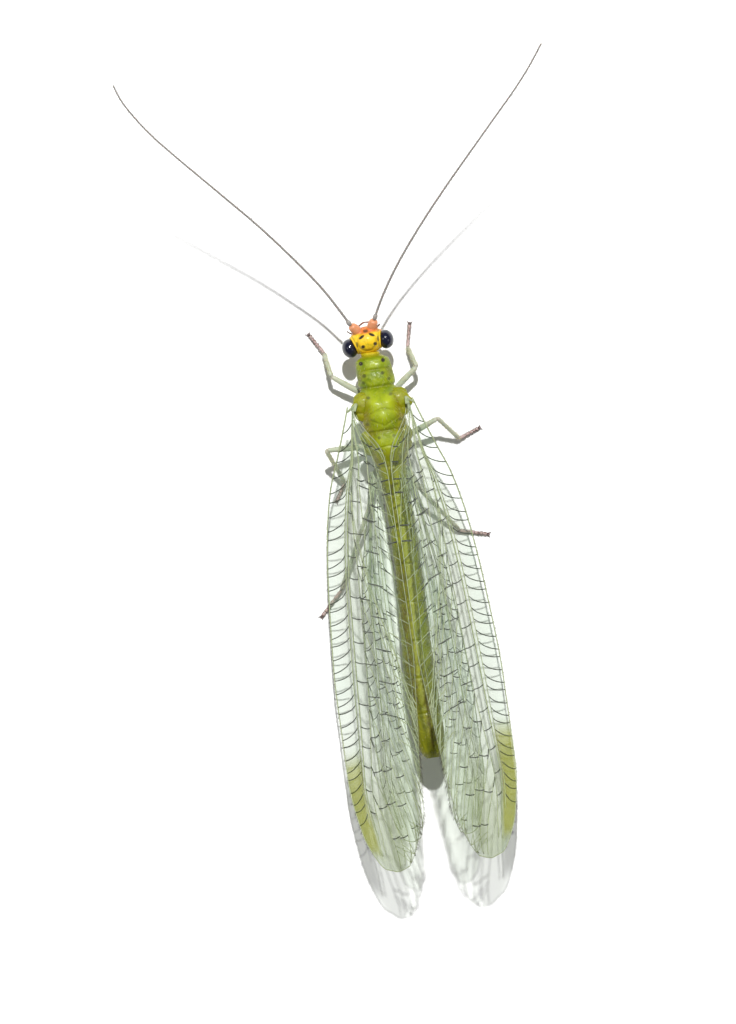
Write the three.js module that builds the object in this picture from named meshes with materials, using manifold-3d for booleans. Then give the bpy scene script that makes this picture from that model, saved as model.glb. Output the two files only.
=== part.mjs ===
// Green lacewing (family Chrysopidae) at rest: life-size, millimetres, +Z up.
// Head toward +Y, body axis along Y, all six feet on the plane z = 0, and the
// origin under the middle of the bounding box.
//
// Every place on the insect is given as (a, s, z): a is the distance along the
// body axis from the front of the head toward the tail, s the distance to the
// insect's right (+) or left (-), z the height above the floor.
import * as THREE from 'three';
import { mergeVertices } from 'three/addons/utils/BufferGeometryUtils.js';
import Module from 'manifold-3d';

// ---------------------------------------------------------------- sizes (mm)
const ORIGIN_A = 4.5664;       // where the box's middle falls along the axis
const ORIGIN_S = -0.061;       // and beside it
const CUT = 0.06;              // width of the thin cuts between named parts

const LEG = 0.5;               // leg thickness of the solids
const FEELER = 0.5;            // feeler thickness of the solids
const WING = 0.5;              // wing thickness of the solids
const LAYER = 0.08;            // air between forewing and hind wing
const RIDGE = 0.05;            // least distance of a wing from the middle plane
const DRIFT = -0.0102;         // sideways lean of that plane for each mm along the body

const HEAD = { a: 0.52, s: -0.11, z: 1.43, turn: 6.2, wide: 0.62, long: 0.46, high: 0.62 };
const EYE = { out: 0.62, back: -0.10, up: 0.08, x: 0.27, y: 0.33, z: 0.38 };

// body outline: [a, half width, lowest z, highest z, sideways shift]
const PROTHORAX = [
  [0.98, 0.40, 1.06, 1.94, -0.06],
  [1.22, 0.57, 0.98, 2.12, -0.04],
  [1.60, 0.62, 0.96, 2.20, -0.02],
  [1.92, 0.63, 0.98, 2.22, 0.00],
  [2.08, 0.62, 1.02, 2.20, 0.00],
];
const MESOTHORAX = [
  [2.14, 0.62, 1.02, 2.22, 0.00],
  [2.34, 0.68, 0.98, 2.42, 0.03],
  [2.70, 0.73, 0.90, 2.62, 0.05],
  [3.10, 0.74, 0.86, 2.66, 0.06],
  [3.56, 0.73, 0.86, 2.58, 0.06],
];
const METATHORAX = [
  [3.62, 0.72, 0.86, 2.56, 0.06],
  [3.95, 0.70, 0.88, 2.54, 0.07],
  [4.35, 0.64, 0.92, 2.46, 0.08],
  [4.76, 0.54, 1.06, 2.32, 0.09],
];
const ABDOMEN = [
  [4.82, 0.50, 1.14, 2.28, 0.09],
  [6.20, 0.45, 1.28, 2.20, 0.13],
  [8.00, 0.46, 1.30, 2.22, 0.12],
  [10.0, 0.50, 1.34, 2.30, 0.04],
  [12.0, 0.54, 1.40, 2.42, -0.05],
  [13.6, 0.53, 1.46, 2.46, -0.04],
  [14.40, 0.42, 1.54, 2.36, -0.01],
  [14.68, 0.25, 1.68, 2.18, 0.00],
];
const ABDOMEN_CUTS = [4.82, 5.75, 6.85, 8.10, 9.40, 10.70, 11.95, 13.15, 14.68];

// feelers: the scape from root to bend, then the middle line of a long thin
// flagellum as rows of [share of its length, a, s, z]
const FEELERS = {
  left: {
    root: [0.20, -0.34, 1.62], bend: [-0.09, -0.59, 1.84],
    line: [
      [0, -0.227, -0.661, 1.911], [0.0308, -0.53, -0.82, 2.07], [0.1228, -1.42, -1.33, 2.54],
      [0.2223, -2.32, -1.97, 3.06], [0.3787, -3.69, -3.04, 3.87], [0.5451, -5.08, -4.26, 4.73],
      [0.7128, -6.47, -5.5, 5.6], [0.8207, -7.39, -6.27, 6.16], [0.9012, -8.13, -6.77, 6.58],
      [0.9615, -8.72, -7.08, 6.9], [1, -9.13, -7.2, 7.1],
    ],
  },
  right: {
    root: [0.14, 0.09, 1.62], bend: [-0.16, 0.24, 1.84],
    line: [
      [0, -0.296, 0.308, 1.915], [0.0256, -0.54, 0.43, 2.05], [0.1074, -1.28, 0.88, 2.49],
      [0.1918, -2.01, 1.4, 2.94], [0.3239, -3.09, 2.29, 3.65], [0.459, -4.15, 3.25, 4.38],
      [0.5966, -5.2, 4.26, 5.12], [0.735, -6.25, 5.28, 5.87], [0.8269, -6.95, 5.96, 6.36],
      [0.916, -7.66, 6.58, 6.84], [1, -8.37, 7.11, 7.3],
    ],
  },
};

// legs: coxa, knee, ankle, tip of the foot, as (a, s, z)
const LEGS = {
  fore_left: [[2.40, -0.34, 0.66], [1.53, -1.52, 1.02], [0.70, -1.60, 0.30], [-0.06, -2.06, 0.25]],
  fore_right: [[2.42, 0.36, 0.66], [1.62, 1.45, 1.10], [0.92, 1.20, 0.30], [0.06, 1.41, 0.25]],
  mid_left: [[4.02, -0.42, 0.58], [3.92, -2.06, 1.46], [5.12, -1.56, 0.30], [5.76, -1.98, 0.25]],
  mid_right: [[3.98, 0.46, 0.58], [3.40, 1.86, 1.46], [4.21, 2.45, 0.30], [3.93, 3.26, 0.25]],
  hind_left: [[4.62, -0.40, 0.72], [6.05, -0.86, 1.30], [8.66, -2.22, 0.30], [9.50, -3.06, 0.25]],
  hind_right: [[4.60, 0.44, 0.72], [5.75, 0.92, 1.30], [7.26, 2.00, 0.30], [7.56, 3.02, 0.25]],
};
const KNEE_R = 0.30;           // bend of the leg's middle line at the knee
const FOOT_FLAT = 0.34;        // length of the flat that stands on the floor

// wings: tables of value against the share of the wing's length
const FORE = {
  from: 2.62, to: 18.36,
  edge: [[0, 1.12], [0.05, 1.38], [0.11, 1.72], [0.17, 2.07], [0.27, 2.40], [0.42, 2.66],
    [0.62, 2.84], [0.79, 2.84], [0.90, 2.62], [0.97, 2.18], [1, 1.78]],
  edgeZ: [[0, 2.35], [0.06, 2.26], [0.13, 1.98], [0.22, 1.56], [0.32, 1.30], [0.50, 1.26],
    [0.66, 1.36], [0.80, 1.66], [0.90, 2.14], [1, 2.86]],
  ridge: [[0, 0.92], [0.03, 0.82], [0.06, 0.58], [0.09, 0.28], [0.12, 0.14], [0.16, 0.10], [0.50, 0.10],
    [0.66, 0.26], [0.80, 0.48], [0.90, 0.68], [0.96, 0.98], [1, 1.36]],
  ridgeZ: [[0, 2.62], [0.03, 2.76], [0.06, 3.08], [0.12, 3.84], [0.20, 4.50], [0.32, 5.06], [0.50, 5.38],
    [0.70, 5.36], [0.84, 4.86], [0.93, 4.10], [1, 3.22]],
  field: 0.50, rise: 0.24,     // the flatter field along the leading edge
  bulge: 0.16,                 // outward bow of the membrane
};
const HIND = {
  from: 4.88, to: 17.42,
  show: 0.26,                  // how far it shows past the forewing's inner edge
  lowZ: [[0, 2.52], [0.10, 2.34], [0.20, 1.95], [0.32, 1.60], [0.60, 1.55], [0.80, 1.80],
    [0.92, 2.35], [1, 2.95]],
  highZ: [[0, 3.05], [0.14, 3.40], [0.30, 3.80], [0.55, 4.20], [0.75, 4.30], [0.90, 4.00], [1, 3.35]],
};

// ------------------------------------------------------------------ helpers
const wasm = await Module();
wasm.setup();

const place = (a, s, z) => new THREE.Vector3(s - ORIGIN_S, ORIGIN_A - a, z);
const mix = (p, q, t) => p + (q - p) * t;
const smooth = (t) => t * t * (3 - 2 * t);

// a smooth value from a short table of [share, value, ...] rows
function row(table, x, column = 1) {
  const last = table.length - 1;
  if (x <= table[0][0]) return table[0][column];
  if (x >= table[last][0]) return table[last][column];
  let i = 0;
  while (x > table[i + 1][0]) i += 1;
  const slope = (k) => {
    if (k <= 0 || k >= last) {
      const j = k <= 0 ? 0 : last - 1;
      return (table[j + 1][column] - table[j][column]) / (table[j + 1][0] - table[j][0]);
    }
    const before = (table[k][column] - table[k - 1][column]) / (table[k][0] - table[k - 1][0]);
    const after = (table[k + 1][column] - table[k][column]) / (table[k + 1][0] - table[k][0]);
    return before * after <= 0 ? 0 : (2 * before * after) / (before + after);
  };
  const h = table[i + 1][0] - table[i][0];
  const t = (x - table[i][0]) / h;
  const t2 = t * t, t3 = t2 * t;
  return (2 * t3 - 3 * t2 + 1) * table[i][column] + (t3 - 2 * t2 + t) * h * slope(i)
    + (3 * t2 - 2 * t3) * table[i + 1][column] + (t3 - t2) * h * slope(i + 1);
}

// closed geometry with merged corners
function weld(geometry) {
  const g = geometry.clone();
  for (const name of Object.keys(g.attributes)) if (name !== 'position') g.deleteAttribute(name);
  return mergeVertices(g, 1e-5);
}

function bent(geometry, move) {
  const g = weld(geometry);
  const p = g.attributes.position;
  const v = new THREE.Vector3();
  for (let i = 0; i < p.count; i += 1) {
    v.fromBufferAttribute(p, i);
    const w = move(v);
    p.setXYZ(i, w.x, w.y, w.z);
  }
  return outward(g);
}

// faces turned so that they point out
function outward(g) {
  const p = g.attributes.position, index = g.index.array;
  const a = new THREE.Vector3(), b = new THREE.Vector3(), c = new THREE.Vector3();
  let volume = 0;
  for (let i = 0; i < index.length; i += 3) {
    a.fromBufferAttribute(p, index[i]);
    b.fromBufferAttribute(p, index[i + 1]);
    c.fromBufferAttribute(p, index[i + 2]);
    volume += a.dot(b.cross(c));
  }
  if (volume < 0) {
    for (let i = 0; i < index.length; i += 3) [index[i + 1], index[i + 2]] = [index[i + 2], index[i + 1]];
  }
  g.computeVertexNormals();
  return g;
}

function toSolid(geometry) {
  const g = weld(geometry);
  return new wasm.Manifold(new wasm.Mesh({
    numProp: 3,
    vertProperties: new Float32Array(g.attributes.position.array),
    triVerts: new Uint32Array(g.index.array),
  }));
}

function fromSolid(solid) {
  const mesh = solid.getMesh();
  const g = new THREE.BufferGeometry();
  g.setAttribute('position', new THREE.BufferAttribute(new Float32Array(mesh.vertProperties), 3));
  g.setIndex(new THREE.BufferAttribute(new Uint32Array(mesh.triVerts), 1));
  g.computeVertexNormals();
  return g;
}

const root = new THREE.Group();
const solids = {};
function add(name, geometry, look) {
  const mesh = new THREE.Mesh(geometry, new THREE.MeshStandardMaterial(look));
  mesh.name = name;
  solids[name] = geometry;
  root.add(mesh);
  return mesh;
}

const GREEN = { color: 0x8fae1c, roughness: 0.42, metalness: 0 };
const OLIVE = { color: 0x84900f, roughness: 0.40, metalness: 0 };
const YELLOW = { color: 0xe2c22a, roughness: 0.42, metalness: 0 };
const DARK = { color: 0x0b0f1c, roughness: 0.12, metalness: 0 };
const FEELER_GREY = { color: 0x77726b, roughness: 0.55, metalness: 0 };
const SCAPE = { color: 0xd98b5a, roughness: 0.45, metalness: 0 };
const LEG_PALE = { color: 0xa3a883, roughness: 0.45, metalness: 0 };
const FOOT_BROWN = { color: 0x8d6e66, roughness: 0.5, metalness: 0 };
const MEMBRANE = { color: 0xcfd8c4, roughness: 0.25, metalness: 0 };

// --------------------------------------------------------------- body parts
// The pronotum has a collar and rounded shoulders; the mesothorax two pairs of
// lobes and a plate behind them; the metathorax one pair of lobes.
const LOBES = [
  // a, s, radius along, radius across, height
  [2.62, 0.30, 0.26, 0.26, 0.11],
  [3.02, 0.44, 0.22, 0.22, 0.07],
  [3.12, 0.00, 0.26, 0.24, 0.09],
  [3.98, 0.32, 0.26, 0.24, 0.09],
  [4.26, 0.00, 0.20, 0.22, 0.06],
  [1.30, 0.26, 0.16, 0.22, 0.04],
  [1.78, 0.30, 0.16, 0.22, 0.04],
];
function lobes(a, s) {
  let h = 0;
  for (const [la, ls, ra, rs, up] of LOBES) {
    for (const side of ls === 0 ? [1] : [1, -1]) {
      h += up * Math.exp(-(((a - la) / ra) ** 2) - (((s - side * ls) / rs) ** 2));
    }
  }
  return h;
}

// a trunk section: fuller above, narrower below, where the legs join
function sectionPoint(table, a, angle, keel) {
  const half = row(table, a, 1), low = row(table, a, 2), high = row(table, a, 3), shift = row(table, a, 4);
  const c = Math.cos(angle), s = Math.sin(angle);
  const middle = mix(low, high, 0.55);
  const up = s >= 0 ? high - middle : middle - low;
  const power = s >= 0 ? 0.92 : keel;
  const across = Math.sign(c) * Math.abs(c) ** power * half;
  const z = middle + Math.sign(s) * Math.abs(s) ** 0.96 * up;
  return [shift + across, s > 0 ? z + lobes(a, across) * s : z];
}

function trunk(table, from, to, around, rings, keel = 1) {
  const g = new THREE.CylinderGeometry(1, 1, 1, around, rings);
  const caps = 0.14;           // the ends are rounded over this length
  return bent(g, (v) => {
    const t = 0.5 - v.y;
    const r = Math.hypot(v.x, v.z);
    const angle = Math.atan2(v.z, v.x);
    const a = mix(from, to, t);
    const [s, z] = sectionPoint(table, a, angle, keel);
    const half = row(table, a, 4);
    const mid = mix(row(table, a, 2), row(table, a, 3), 0.55);
    const inset = Math.min(caps, (to - from) * 0.2);
    const edge = t < 1e-6 || t > 1 - 1e-6 ? 1 - inset / row(table, a, 1) * 0.35 : 1;
    return place(a, mix(half, s, r * edge), mix(mid, z, r * edge));
  });
}

add('prothorax', trunk(PROTHORAX, 1.06, 2.06, 20, 7, 1.1), GREEN);
add('mesothorax', trunk(MESOTHORAX, 2.14, 3.56, 24, 10, 1.5), GREEN);
add('metathorax', trunk(METATHORAX, 3.62, 4.76, 24, 7, 1.5), GREEN);
for (let i = 0; i + 1 < ABDOMEN_CUTS.length; i += 1) {
  const from = ABDOMEN_CUTS[i] + (i ? CUT / 2 : 0);
  const to = ABDOMEN_CUTS[i + 1] - (i + 2 < ABDOMEN_CUTS.length ? CUT / 2 : 0);
  add(`abdomen_${i + 1}`, trunk(ABDOMEN, from, to, 16, i === 7 ? 6 : 3), OLIVE);
}

// --------------------------------------------------------------------- head
// Turned a little to the left. The eyes bulge from its sides; the face slopes
// down and back to the mouth.
const turn = THREE.MathUtils.degToRad(HEAD.turn);
const headPlace = (x, y, z) => {
  // x to the insect's right, y forward, both in the head's own frame
  const s = HEAD.s + x * Math.cos(turn) - y * Math.sin(turn);
  const a = HEAD.a - (x * Math.sin(turn) + y * Math.cos(turn));
  return place(a, s, HEAD.z + z);
};

function headShape(v) {
  // a ball made wide above and narrow toward the mouth
  const down = Math.max(0, -v.z);
  const narrow = 1 - 0.42 * smooth(Math.min(1, down));
  const front = v.y > 0 ? 1 + 0.10 * (1 - Math.abs(v.z)) : 1 - 0.16 * v.z * v.z;
  const x = HEAD.wide * v.x * narrow;
  const y = HEAD.long * v.y * front * (1 - 0.25 * down * down) + 0.05 * down;
  const z = HEAD.high * (v.z > 0 ? v.z * 0.92 : v.z * 1.06);
  return [x, y, z];
}
const ball = (around, up) => {
  const g = new THREE.SphereGeometry(1, around, up);
  g.rotateX(Math.PI / 2);
  return g;
};
const headWhole = bent(ball(22, 14), (v) => headPlace(...headShape(v)));
const eyeShape = (side, grow) => bent(ball(16, 10), (v) => headPlace(
  side * EYE.out + v.x * (EYE.x + grow),
  EYE.back + v.y * (EYE.y + grow),
  EYE.up + v.z * (EYE.z + grow),
));
let head = toSolid(headWhole);
for (const side of [-1, 1]) head = head.subtract(toSolid(eyeShape(side, CUT)));

// scapes stand on the front of the head, between the eyes
const scapes = {};
function rod(from, to, r0, r1, sides = 10, steps = 3, round = 0.5) {
  const p = new THREE.Vector3(...from), q = new THREE.Vector3(...to);
  const t = q.clone().sub(p).normalize();
  const n = new THREE.Vector3(0, 0, 1).cross(t).normalize();
  const b = t.clone().cross(n);
  const g = new THREE.CylinderGeometry(1, 1, 1, sides, steps);
  return bent(g, (v) => {
    const u = v.y + 0.5;
    const end = u < 1e-6 || u > 1 - 1e-6 ? 1 - round * 0.3 : 1;
    const r = mix(r0, r1, u) * end * Math.hypot(v.x, v.z);
    const angle = Math.atan2(v.z, v.x);
    const c = p.clone().lerp(q, u);
    return c.addScaledVector(n, Math.cos(angle) * r).addScaledVector(b, Math.sin(angle) * r);
  });
}
for (const [side, f] of Object.entries(FEELERS)) {
  const g = rod(place(...f.root).toArray(), place(...f.bend).toArray(), 0.19, 0.20, 10, 3);
  scapes[side] = g;
  const grown = rod(
    place(...f.root).toArray(),
    place(...f.bend).lerp(place(...f.root), -0.2).toArray(),
    0.19 + CUT, 0.20 + CUT, 10, 3, 0,
  );
  head = head.subtract(toSolid(grown));
}

// mouth: a short block of lip and jaws under the face, and a pair of palps
const mouth = bent(ball(12, 8), (v) => headPlace(v.x * 0.26, 0.22 + v.y * 0.24, -0.62 + v.z * 0.26));
head = head.subtract(toSolid(bent(ball(12, 8), (v) => headPlace(
  v.x * (0.26 + CUT), 0.22 + v.y * (0.24 + CUT), -0.62 + v.z * (0.26 + CUT),
))));
add('head', fromSolid(head), YELLOW);
for (const side of [-1, 1]) add(side < 0 ? 'eye_left' : 'eye_right', eyeShape(side, 0), DARK);
for (const side of Object.keys(FEELERS)) add(`scape_${side}`, scapes[side], SCAPE);
add('mouth', mouth, SCAPE);

// ------------------------------------------------------------------ feelers
// Each sweeps forward, outward and up through the rows of its table.
class FeelerCurve extends THREE.Curve {
  constructor(line) {
    super();
    this.line = line;
  }

  getPoint(t, target = new THREE.Vector3()) {
    return target.copy(place(row(this.line, t, 1), row(this.line, t, 2), row(this.line, t, 3)));
  }
}
function swept(curve, radius, sides, steps) {
  const g = new THREE.CylinderGeometry(1, 1, 1, sides, steps);
  const up = new THREE.Vector3(0, 0, 1);
  return bent(g, (v) => {
    const u = Math.min(1, Math.max(0, v.y + 0.5));
    const c = curve.getPoint(u);
    const t = curve.getTangent(u);
    const n = up.clone().cross(t).normalize();
    const b = t.clone().cross(n);
    const r = radius(u) * Math.hypot(v.x, v.z);
    const angle = Math.atan2(v.z, v.x);
    return c.clone().addScaledVector(n, Math.cos(angle) * r).addScaledVector(b, Math.sin(angle) * r);
  });
}
for (const [side, f] of Object.entries(FEELERS)) {
  const curve = new FeelerCurve(f.line);
  add(`feeler_${side}`, swept(curve, (u) => FEELER / 2 * (u > 0.999 ? 0.8 : 1), 8, 14), FEELER_GREY);
}

// --------------------------------------------------------------------- legs
// The middle line of a leg: straight lengths with a round bend at the knee.
function legLine(points) {
  const [c, k, a] = points.slice(0, 3).map((p) => place(...p));
  const toC = c.clone().sub(k), toA = a.clone().sub(k);
  const half = toC.angleTo(toA) / 2;
  const bendLength = KNEE_R / Math.tan(half);
  const centre = toC.clone().normalize().add(toA.clone().normalize()).normalize()
    .multiplyScalar(KNEE_R / Math.sin(half)).add(k);
  const b0 = toC.clone().normalize().multiplyScalar(bendLength).add(k);
  const b1 = toA.clone().normalize().multiplyScalar(bendLength).add(k);
  const r0 = b0.clone().sub(centre), r1 = b1.clone().sub(centre);
  const sweep = r0.angleTo(r1);
  const axis = r0.clone().cross(r1).normalize();
  return {
    c, k, a, b0, b1, sweep,
    arc: (t) => r0.clone().applyAxisAngle(axis, sweep * t).add(centre),
    arcDir: (t) => axis.clone().cross(r0.clone().applyAxisAngle(axis, sweep * t)).normalize(),
  };
}

// rings of points and directions joined into one closed rod
function rodThrough(stations, sides) {
  const g = new THREE.CylinderGeometry(1, 1, 1, sides, stations.length - 1);
  const frames = [];
  let n = null;
  for (const { t } of stations) {
    if (n === null) n = new THREE.Vector3(0, 0, 1).cross(t).normalize();
    n = n.clone().addScaledVector(t, -n.dot(t)).normalize();
    frames.push([n, t.clone().cross(n)]);
  }
  return bent(g, (v) => {
    const i = Math.round((v.y + 0.5) * (stations.length - 1));
    const r = stations[i].r * Math.hypot(v.x, v.z);
    const angle = Math.atan2(v.z, v.x);
    return stations[i].p.clone()
      .addScaledVector(frames[i][0], Math.cos(angle) * r)
      .addScaledVector(frames[i][1], Math.sin(angle) * r);
  });
}

const GAP = CUT / 2;
for (const [name, points] of Object.entries(LEGS)) {
  const line = legLine(points);
  const r = LEG / 2;
  const thigh = line.b0.clone().sub(line.c).normalize();
  const shin = line.a.clone().sub(line.b1).normalize();
  const share = GAP / (KNEE_R * line.sweep);
  const femur = [
    { p: line.c, t: thigh, r: r * 0.72 },
    { p: line.c.clone().addScaledVector(thigh, 0.10), t: thigh, r },
    { p: line.c.clone().lerp(line.b0, 0.55), t: thigh, r: r * 1.06 },
    { p: line.b0, t: thigh, r },
  ];
  for (const t of [0.25, 0.5 - share]) femur.push({ p: line.arc(t), t: line.arcDir(t), r });
  const tibia = [0.5 + share, 0.75].map((t) => ({ p: line.arc(t), t: line.arcDir(t), r }));
  tibia.push({ p: line.b1, t: shin, r });
  const end = line.a.clone().addScaledVector(shin, -0.26);
  tibia.push({ p: line.b1.clone().lerp(end, 0.5), t: shin, r });
  tibia.push({ p: end.clone().addScaledVector(shin, -0.08), t: shin, r });
  tibia.push({ p: end, t: shin, r: r * 0.8 });
  add(`${name}_femur`, rodThrough(femur, 10), LEG_PALE);
  add(`${name}_tibia`, rodThrough(tibia, 10), LEG_PALE);

  // the foot lies along the floor: its last length is flat underneath
  const ankle = line.a, tip = place(...points[3]);
  const flatLine = tip.clone().sub(ankle).setZ(0);
  const length = flatLine.length();
  flatLine.normalize();
  const side = new THREE.Vector3(0, 0, 1).cross(flatLine);
  const box = new THREE.BoxGeometry(1, 1, 1, 6, 2, 2);
  add(`${name}_foot`, bent(box, (v) => {
    const u = v.x + 0.5;
    const d = u * length;
    const end0 = u < 1e-6 || u > 1 - 1e-6;
    const corner = Math.abs(v.y) > 0.49 && Math.abs(v.z) > 0.49 ? 0.86 : 1;
    const width = LEG * (end0 ? 0.74 : 1) * corner * 0.96;
    const lift = 0.07 * smooth(Math.min(1, Math.max(0, (length - FOOT_FLAT - d) / (length - FOOT_FLAT))));
    const top = LEG * (u > 1 - 1e-6 ? 0.70 : 0.96);
    const z = v.z < 0 ? lift : v.z > 0 ? lift + top : lift + top / 2;
    return ankle.clone().setZ(0).addScaledVector(flatLine, d).addScaledVector(side, v.y * width)
      .setZ(z - (v.z > 0.49 && corner < 1 ? 0.05 : 0));
  }), FOOT_BROWN);
}

// -------------------------------------------------------------------- wings
// Held as a steep roof over the abdomen. A cross-section runs from the leading
// edge up a flatter field and then steeply to the ridge.
function foreSection(u) {
  const e = [row(FORE.edge, u), row(FORE.edgeZ, u)];
  const m = [row(FORE.ridge, u), row(FORE.ridgeZ, u)];
  const fade = mix(0.35, 1, Math.min(1, u / 0.12)) * Math.min(1, (1 - u) / 0.10 + 0.15);
  const f = [e[0] - FORE.field * fade * 0.9, e[1] + FORE.rise * fade];
  return { e, f, m, bow: FORE.bulge * fade };
}
// the outer surface at chord share w: 0 the leading edge, 1 the ridge
function foreOuter(u, w) {
  const { e, f, m, bow } = foreSection(u);
  const k = 0.16;
  if (w <= k) return [mix(e[0], f[0], w / k), mix(e[1], f[1], w / k)];
  const t = (w - k) / (1 - k);
  const nx = m[1] - f[1], nz = f[0] - m[0], n = Math.hypot(nx, nz) || 1;
  const b = 4 * t * (1 - t) * bow;
  return [mix(f[0], m[0], t) + (b * nx) / n, mix(f[1], m[1], t) + (b * nz) / n];
}
// the normal of the section, pointing out and up
function foreNormal(u, w) {
  const h = 0.04;
  const p = foreOuter(u, Math.max(0, w - h)), q = foreOuter(u, Math.min(1, w + h));
  const dx = q[0] - p[0], dz = q[1] - p[1], n = Math.hypot(dx, dz);
  return [dz / n, -dx / n];
}
// a point a depth below the outer surface
function foreDeep(u, w, depth) {
  const p = foreOuter(u, w), n = foreNormal(u, w);
  return [p[0] - n[0] * depth, p[1] - n[1] * depth];
}
// the chord share up to which a test holds
function chordWhile(test, low = 0, high = 1) {
  if (test(high)) return high;
  let p = low, q = high;
  for (let i = 0; i < 30; i += 1) {
    const m = (p + q) / 2;
    if (test(m)) p = m; else q = m;
  }
  return p;
}

function wing(side, from, to, section, stations, chords) {
  const g = new THREE.BoxGeometry(1, 1, 1, stations, chords, 1);
  return bent(g, (v) => {
    const u0 = Math.min(1, Math.max(0, v.x + 0.5));
    const u = 1 - (1 - u0) ** 1.25;             // closer stations toward the tip
    const [x, z] = section(u, Math.min(1, Math.max(0, v.y + 0.5)), v.z > 0);
    const a = mix(from, to, u);
    return place(a, side * x + DRIFT * (a - FORE.from), z);
  });
}
function foreSolid(u, w, outer) {
  if (outer) return foreOuter(u, w);
  const limit = chordWhile((m) => foreDeep(u, m, WING)[0] >= RIDGE, 0.3);
  return foreDeep(u, w * limit, WING);
}

// the hind wing lies under the forewing, a thin layer of air between them
function hindSolid(u, w, outer) {
  const a = mix(HIND.from, HIND.to, u);
  const fu = (a - FORE.from) / (FORE.to - FORE.from);
  const top = WING + LAYER;
  const depth = top + (outer ? 0 : WING);
  const inner = Math.max(RIDGE, row(FORE.ridge, fu) - HIND.show);
  const low = chordWhile((m) => foreDeep(fu, m, top)[1] <= row(HIND.lowZ, u), 0.1, 0.95);
  const high = chordWhile((m) => {
    const p = foreDeep(fu, m, depth);
    return p[0] >= inner && foreDeep(fu, m, top)[1] <= row(HIND.highZ, u);
  }, low, 1);
  return foreDeep(fu, mix(low, high, w), depth);
}
const forewing = (side) => wing(side, FORE.from, FORE.to, foreSolid, 22, 5);
const hindwing = (side) => wing(side, HIND.from, HIND.to, hindSolid, 18, 4);

for (const [name, side] of [['left', -1], ['right', 1]]) {
  add(`forewing_${name}`, forewing(side), MEMBRANE);
  add(`hindwing_${name}`, hindwing(side), MEMBRANE);
}

export default root;
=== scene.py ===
import math

import bpy
import numpy as np
from mathutils import Matrix, Vector


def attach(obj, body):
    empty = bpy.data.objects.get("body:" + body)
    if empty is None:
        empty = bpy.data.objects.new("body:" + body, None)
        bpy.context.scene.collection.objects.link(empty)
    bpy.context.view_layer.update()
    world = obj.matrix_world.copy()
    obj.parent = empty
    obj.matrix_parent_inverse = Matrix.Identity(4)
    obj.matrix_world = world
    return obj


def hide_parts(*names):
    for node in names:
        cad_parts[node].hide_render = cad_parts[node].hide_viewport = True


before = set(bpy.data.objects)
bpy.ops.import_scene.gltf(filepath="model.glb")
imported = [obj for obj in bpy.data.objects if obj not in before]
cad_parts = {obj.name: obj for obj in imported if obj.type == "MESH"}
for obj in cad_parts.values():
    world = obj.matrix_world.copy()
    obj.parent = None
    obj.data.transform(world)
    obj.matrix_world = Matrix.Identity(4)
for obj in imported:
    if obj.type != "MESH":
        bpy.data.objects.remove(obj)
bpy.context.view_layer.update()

rng = np.random.default_rng(7)

# All shapes are made in millimetres in the frame of the solids and scaled once.
MM = 0.001
ORIGIN_A, ORIGIN_S = 4.5664, -0.061
PI = math.pi


def place(a, s, z):
    """A place on the insect: a along the body toward the tail, s to its right, z up."""
    return np.stack(np.broadcast_arrays(np.asarray(s, float) - ORIGIN_S, ORIGIN_A - np.asarray(a, float), np.asarray(z, float)), axis=-1)


def mix(p, q, t):
    return p + (q - p) * t


def smooth(t):
    t = np.clip(t, 0, 1)
    return t * t * (3 - 2 * t)


def bell(x, width):
    return np.exp(-((x / width) ** 2))


def row(table, x, column=1):
    """A smooth value from a short table of [place, value, ...] rows."""
    last = len(table) - 1
    if x <= table[0][0]:
        return table[0][column]
    if x >= table[last][0]:
        return table[last][column]
    i = 0
    while x > table[i + 1][0]:
        i += 1

    def slope(k):
        if k <= 0 or k >= last:
            j = 0 if k <= 0 else last - 1
            return (table[j + 1][column] - table[j][column]) / (table[j + 1][0] - table[j][0])
        before = (table[k][column] - table[k - 1][column]) / (table[k][0] - table[k - 1][0])
        after = (table[k + 1][column] - table[k][column]) / (table[k + 1][0] - table[k][0])
        return 0 if before * after <= 0 else 2 * before * after / (before + after)

    h = table[i + 1][0] - table[i][0]
    t = (x - table[i][0]) / h
    t2, t3 = t * t, t * t * t
    return (
        (2 * t3 - 3 * t2 + 1) * table[i][column]
        + (t3 - 2 * t2 + t) * h * slope(i)
        + (3 * t2 - 2 * t3) * table[i + 1][column]
        + (t3 - t2) * h * slope(i + 1)
    )


# ---------------------------------------------------------------- mesh tools
def grid_faces(n, m, close_m=True, first=0):
    """Quads of n rings of m points."""
    i, j = np.meshgrid(np.arange(n - 1), np.arange(m if close_m else m - 1), indexing="ij")
    k = (j + 1) % m
    f = np.stack([i * m + j, i * m + k, (i + 1) * m + k, (i + 1) * m + j], axis=-1)
    return f.reshape(-1, 4) + first


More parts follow.
